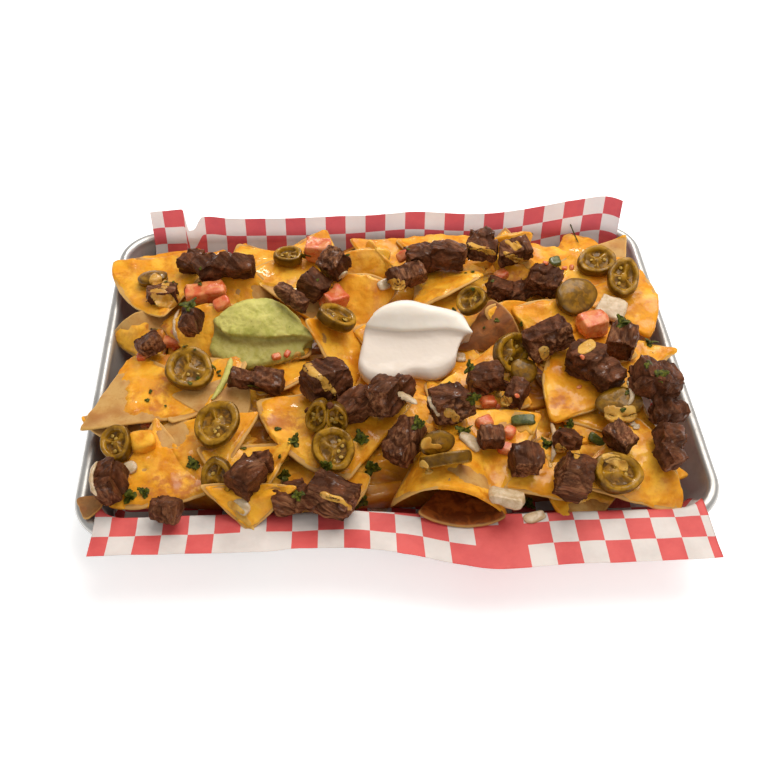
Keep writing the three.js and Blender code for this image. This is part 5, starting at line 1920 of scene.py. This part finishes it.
ONION_SLIVERS = Slivers(
    paths=(
        (2.2, ((180, 311), (175, 322), (175, 334), (180, 344))),
        (2.4, ((98, 463), (92, 472), (92, 486), (97, 496))),
        (4.4, ((391, 393), (400, 396), (410, 400), (416, 405))),
        (4.2, ((429, 398), (432, 405), (436, 412), (439, 418))),
        (3.0, ((551, 424), (555, 436), (555, 450), (551, 464))),
        (2.4, ((627, 382), (632, 390), (632, 400), (628, 405))),
    ),
    height=0.9,
)
CORIANDER = Leaves(
    spots=(
        (194, 465, 7, 10), (130, 497, 8, 60), (145, 493, 6, 100), (253, 387, 7, 30), (190, 306, 8, 80),
        (306, 257, 8, 20), (294, 442, 7, 120), (362, 439, 8, 0), (371, 468, 9, 45), (327, 467, 7, 70),
        (284, 475, 7, 15), (298, 495, 6, 95), (362, 499, 8, 150), (418, 425, 7, 33), (464, 433, 8, 66),
        (472, 398, 7, 99), (470, 369, 7, 12), (623, 323, 8, 40), (649, 343, 7, 77), (658, 375, 8, 110),
        (570, 428, 7, 140), (526, 501, 8, 22), (547, 445, 7, 55),
    ),
)
GUACAMOLE_STRAND = Slivers(
    paths=((3.6, ((231, 358), (229, 370), (225, 380), (219, 390), (212, 401))),), height=1.4, lift=0.3
)
HERB_STEM = Slivers(paths=((0.9, ((569, 221), (571, 229), (575, 236), (578, 244))),), height=0.45)
QUESO_DRIZZLES = Drapes(
    paths=(
        (10, ((150, 291), (160, 296), (172, 300), (178, 306))), (9, ((150, 277), (158, 281), (168, 287))),
        (8, ((305, 364), (312, 372), (322, 378), (330, 390))), (5, ((322, 386), (331, 388), (338, 398))),
        (6, ((320, 493), (331, 498), (341, 500), (352, 510))),
        (5, ((463, 240), (471, 246), (484, 249), (499, 256))),
        (5, ((505, 240), (512, 245), (522, 247))), (5, ((503, 252), (513, 257), (526, 262), (530, 270))),
        (6, ((386, 280), (396, 283), (405, 284))), (6, ((477, 268), (484, 274), (490, 282))),
        (7, ((422, 440), (430, 446), (442, 447))), (8, ((543, 346), (545, 356), (541, 366))),
        (6, ((578, 352), (590, 345), (598, 340))), (12, ((604, 408), (614, 414), (628, 414), (634, 406))),
        (5, ((543, 452), (549, 458), (551, 468))), (6, ((555, 446), (566, 450), (580, 456))),
        (8, ((596, 452), (608, 458), (620, 462), (627, 470))),
        (7, ((444, 411), (452, 414), (458, 421))), (7, ((516, 424), (527, 428), (535, 437))),
        (6, ((300, 352), (294, 360), (284, 366))), (8, ((496, 392), (503, 398), (512, 402))),
        (6, ((228, 502), (236, 508), (243, 517), (254, 530))), (5, ((418, 461), (427, 466), (430, 474))),
    ),
)
QUESO_CUBES = Dice(spots=((144, 443, 25, 20, 12),), seed=841, sink=0.45, square=0.45)
STEAK_CRUMBS = Crumbs(12, 2.6, 5.5, 851)
TOMATO_CRUMBS = Crumbs(18, 1.8, 4.4, 861)
ONION_CRUMBS = Crumbs(10, 2.4, 4.6, 883)


# ---- studio


@dataclass(frozen=True)
class Studio:
    """A pale floor, a large soft light above, a weaker one in front, a small one behind, a surround."""

    key_power: float = 9.5
    fill_power: float = 1.8
    spark_power: float = 1.5
    surround: float = 0.5
    tint: Colour = (1.0, 0.955, 0.89)

    def light(self, name: str, place: Spot, size: float, power: float) -> None:
        """Adds a square area light that faces the food."""
        data = bpy.data.lights.new(name, "AREA")
        data.size, data.energy, data.color = size, power, self.tint
        lamp = linked(name, data)
        way = Vector((0, 0, 0.03)) - Vector(place)
        lamp.rotation_euler = way.to_track_quat("-Z", "Y").to_euler()
        lamp.location = place

    def build(self) -> None:
        """Adds the lights, the surround and the floor."""
        self.light("key", (0.3, 0.35, 0.97), 0.9, self.key_power)
        self.light("fill", (0.4, -0.9, 0.8), 1.0, self.fill_power)
        self.light("spark", (0.0, 0.8, 0.65), 0.16, self.spark_power)
        world = bpy.data.worlds.new("surround")
        world.use_nodes = True
        sky = world.node_tree.nodes["Background"]
        sky.inputs["Color"].default_value = (1, 1, 1, 1)
        sky.inputs["Strength"].default_value = self.surround
        bpy.context.scene.world = world
        bpy.context.scene.view_settings.view_transform = "Standard"
        mesh = bpy.data.meshes.new("floor")
        mesh.from_pydata([(-6, -6, 0), (6, -6, 0), (6, 6, 0), (-6, 6, 0)], [], [(0, 1, 2, 3)])
        mesh.materials.append(PaleFloor("pale_floor").material())
        floor = linked("floor", mesh)
        floor.location.z = -0.0004


def main() -> None:
    """Builds every piece, the camera and the studio."""
    logging.basicConfig(level=logging.INFO, format="%(message)s")
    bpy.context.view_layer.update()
    VIEW.make_camera()
    Studio().build()
    queso, corn = MeltedQueso("melted_queso"), FriedCorn("fried_corn")
    steak_finish, pepper_finish = GrilledSteak("grilled_steak"), PickledPepper("pickled_pepper")
    tomato_finish = FreshDice("diced_tomato")
    smear = MeltedQueso(
        "queso_smear", (0.58, 0.29, 0.04), (0.72, 0.42, 0.09), (0.40, 0.15, 0.014), patchy=0.6, rough=0.24
    )
    onion_finish = FreshDice("diced_onion", (0.44, 0.29, 0.14), (0.64, 0.49, 0.32), 5.0, 0.004, 0.12)
    green_finish = FreshDice("green_pepper", (0.045, 0.06, 0.01), (0.13, 0.13, 0.02), 4.0, 0.001, 0.15)

    put("sheet_pan", SheetPan().build(), RolledAluminium("rolled_aluminium"), ("pan",))
    paper, print_places = CheckedLiner().build()
    put("deli_paper", paper, CheckedPaper("checked_paper"), ("paper_liner",), print_places)

    heap = ChipHeap()
    chips, lower = heap.showing() + heap.tucked(), heap.lower()
    bodies = heap.shaded([chip.body() for chip in chips])
    coats = heap.shaded([chip.coat() for chip in chips if chip.cover > 0])
    low_bodies = heap.shaded([chip.body() for chip in lower])
    low_coats = heap.shaded([chip.coat() for chip in lower])
    packed = heap.core()
    half = len(bodies) // 2
    put("top_chips_left", joined(bodies[:half]), corn, ("chips",))
    put("top_chips_right", joined(bodies[half:]), corn, ("chips",))
    put("lower_chips", joined(low_bodies), corn, ("chips",))
    put("queso_pool", packed, queso, ("chips",))

    steaks, slices = SteakChunks().build(), PickledSlices().build()
    for side, picked in (("left", slice(0, 11)), ("middle", slice(11, 22)), ("right", slice(22, None))):
        put(f"steak_{side}", joined(steaks[picked]), steak_finish, STEAK_NAMES[picked])
    put("pickled_slices", joined(slices), pepper_finish, PEPPER_NAMES)
    guacamole, cream = GUACAMOLE.build(), SOUR_CREAM.build()
    strand = GUACAMOLE_STRAND.build(Ground([*bodies, *coats, *low_bodies, *steaks, packed, guacamole]))
    guacamole = joined([guacamole, *strand])
    put("guacamole_scoop", guacamole, MashedAvocado("mashed_avocado"), ("guacamole",))
    put("cream_scoop", cream, SouredCream("soured_cream"), ("sour_cream",))

    tomato_names, onion_names = numbered("tomato", 4), numbered("onion", 2)
    tomatoes = [cut_piece(name, 1 + k) for k, name in enumerate(tomato_names)]
    onions = [cut_piece(name, 11 + k) for k, name in enumerate(onion_names)]
    carrying = [paper, packed, *bodies, *coats, *low_bodies, *steaks, *slices, guacamole, cream]
    ground = Ground([*carrying, *tomatoes, *onions])
    tomatoes += TOMATO_DICE.build(ground) + TOMATO_CRUMBS.build(ground)
    onions += ONION_DICE.build(ground) + ONION_SLIVERS.build(ground) + ONION_CRUMBS.build(ground)
    put("steak_crumbs", joined(STEAK_CRUMBS.build(ground)), steak_finish)
    put("tomato_dice", joined(tomatoes), tomato_finish, tomato_names)
    put("onion_dice", joined(onions), onion_finish, onion_names)
    put("green_dice", joined(PEPPER_DICE.build(ground)), green_finish)
    herbs = CORIANDER.build(ground) + HERB_STEM.build(ground)
    put("coriander_leaves", joined(herbs), HerbLeaf("herb_leaf"))
    cubes = QUESO_CUBES.build(ground)
    drizzles = QUESO_DRIZZLES.build(Ground([*carrying, *tomatoes, *onions, *cubes]))
    put("queso_coat_left", joined(coats[:half] + cubes), queso)
    put("queso_coat_right", joined(coats[half:]), queso)
    put("queso_low", joined(low_coats), queso)
    put("queso_drizzle", joined(drizzles), smear)


if __name__ == "__main__":
    main()
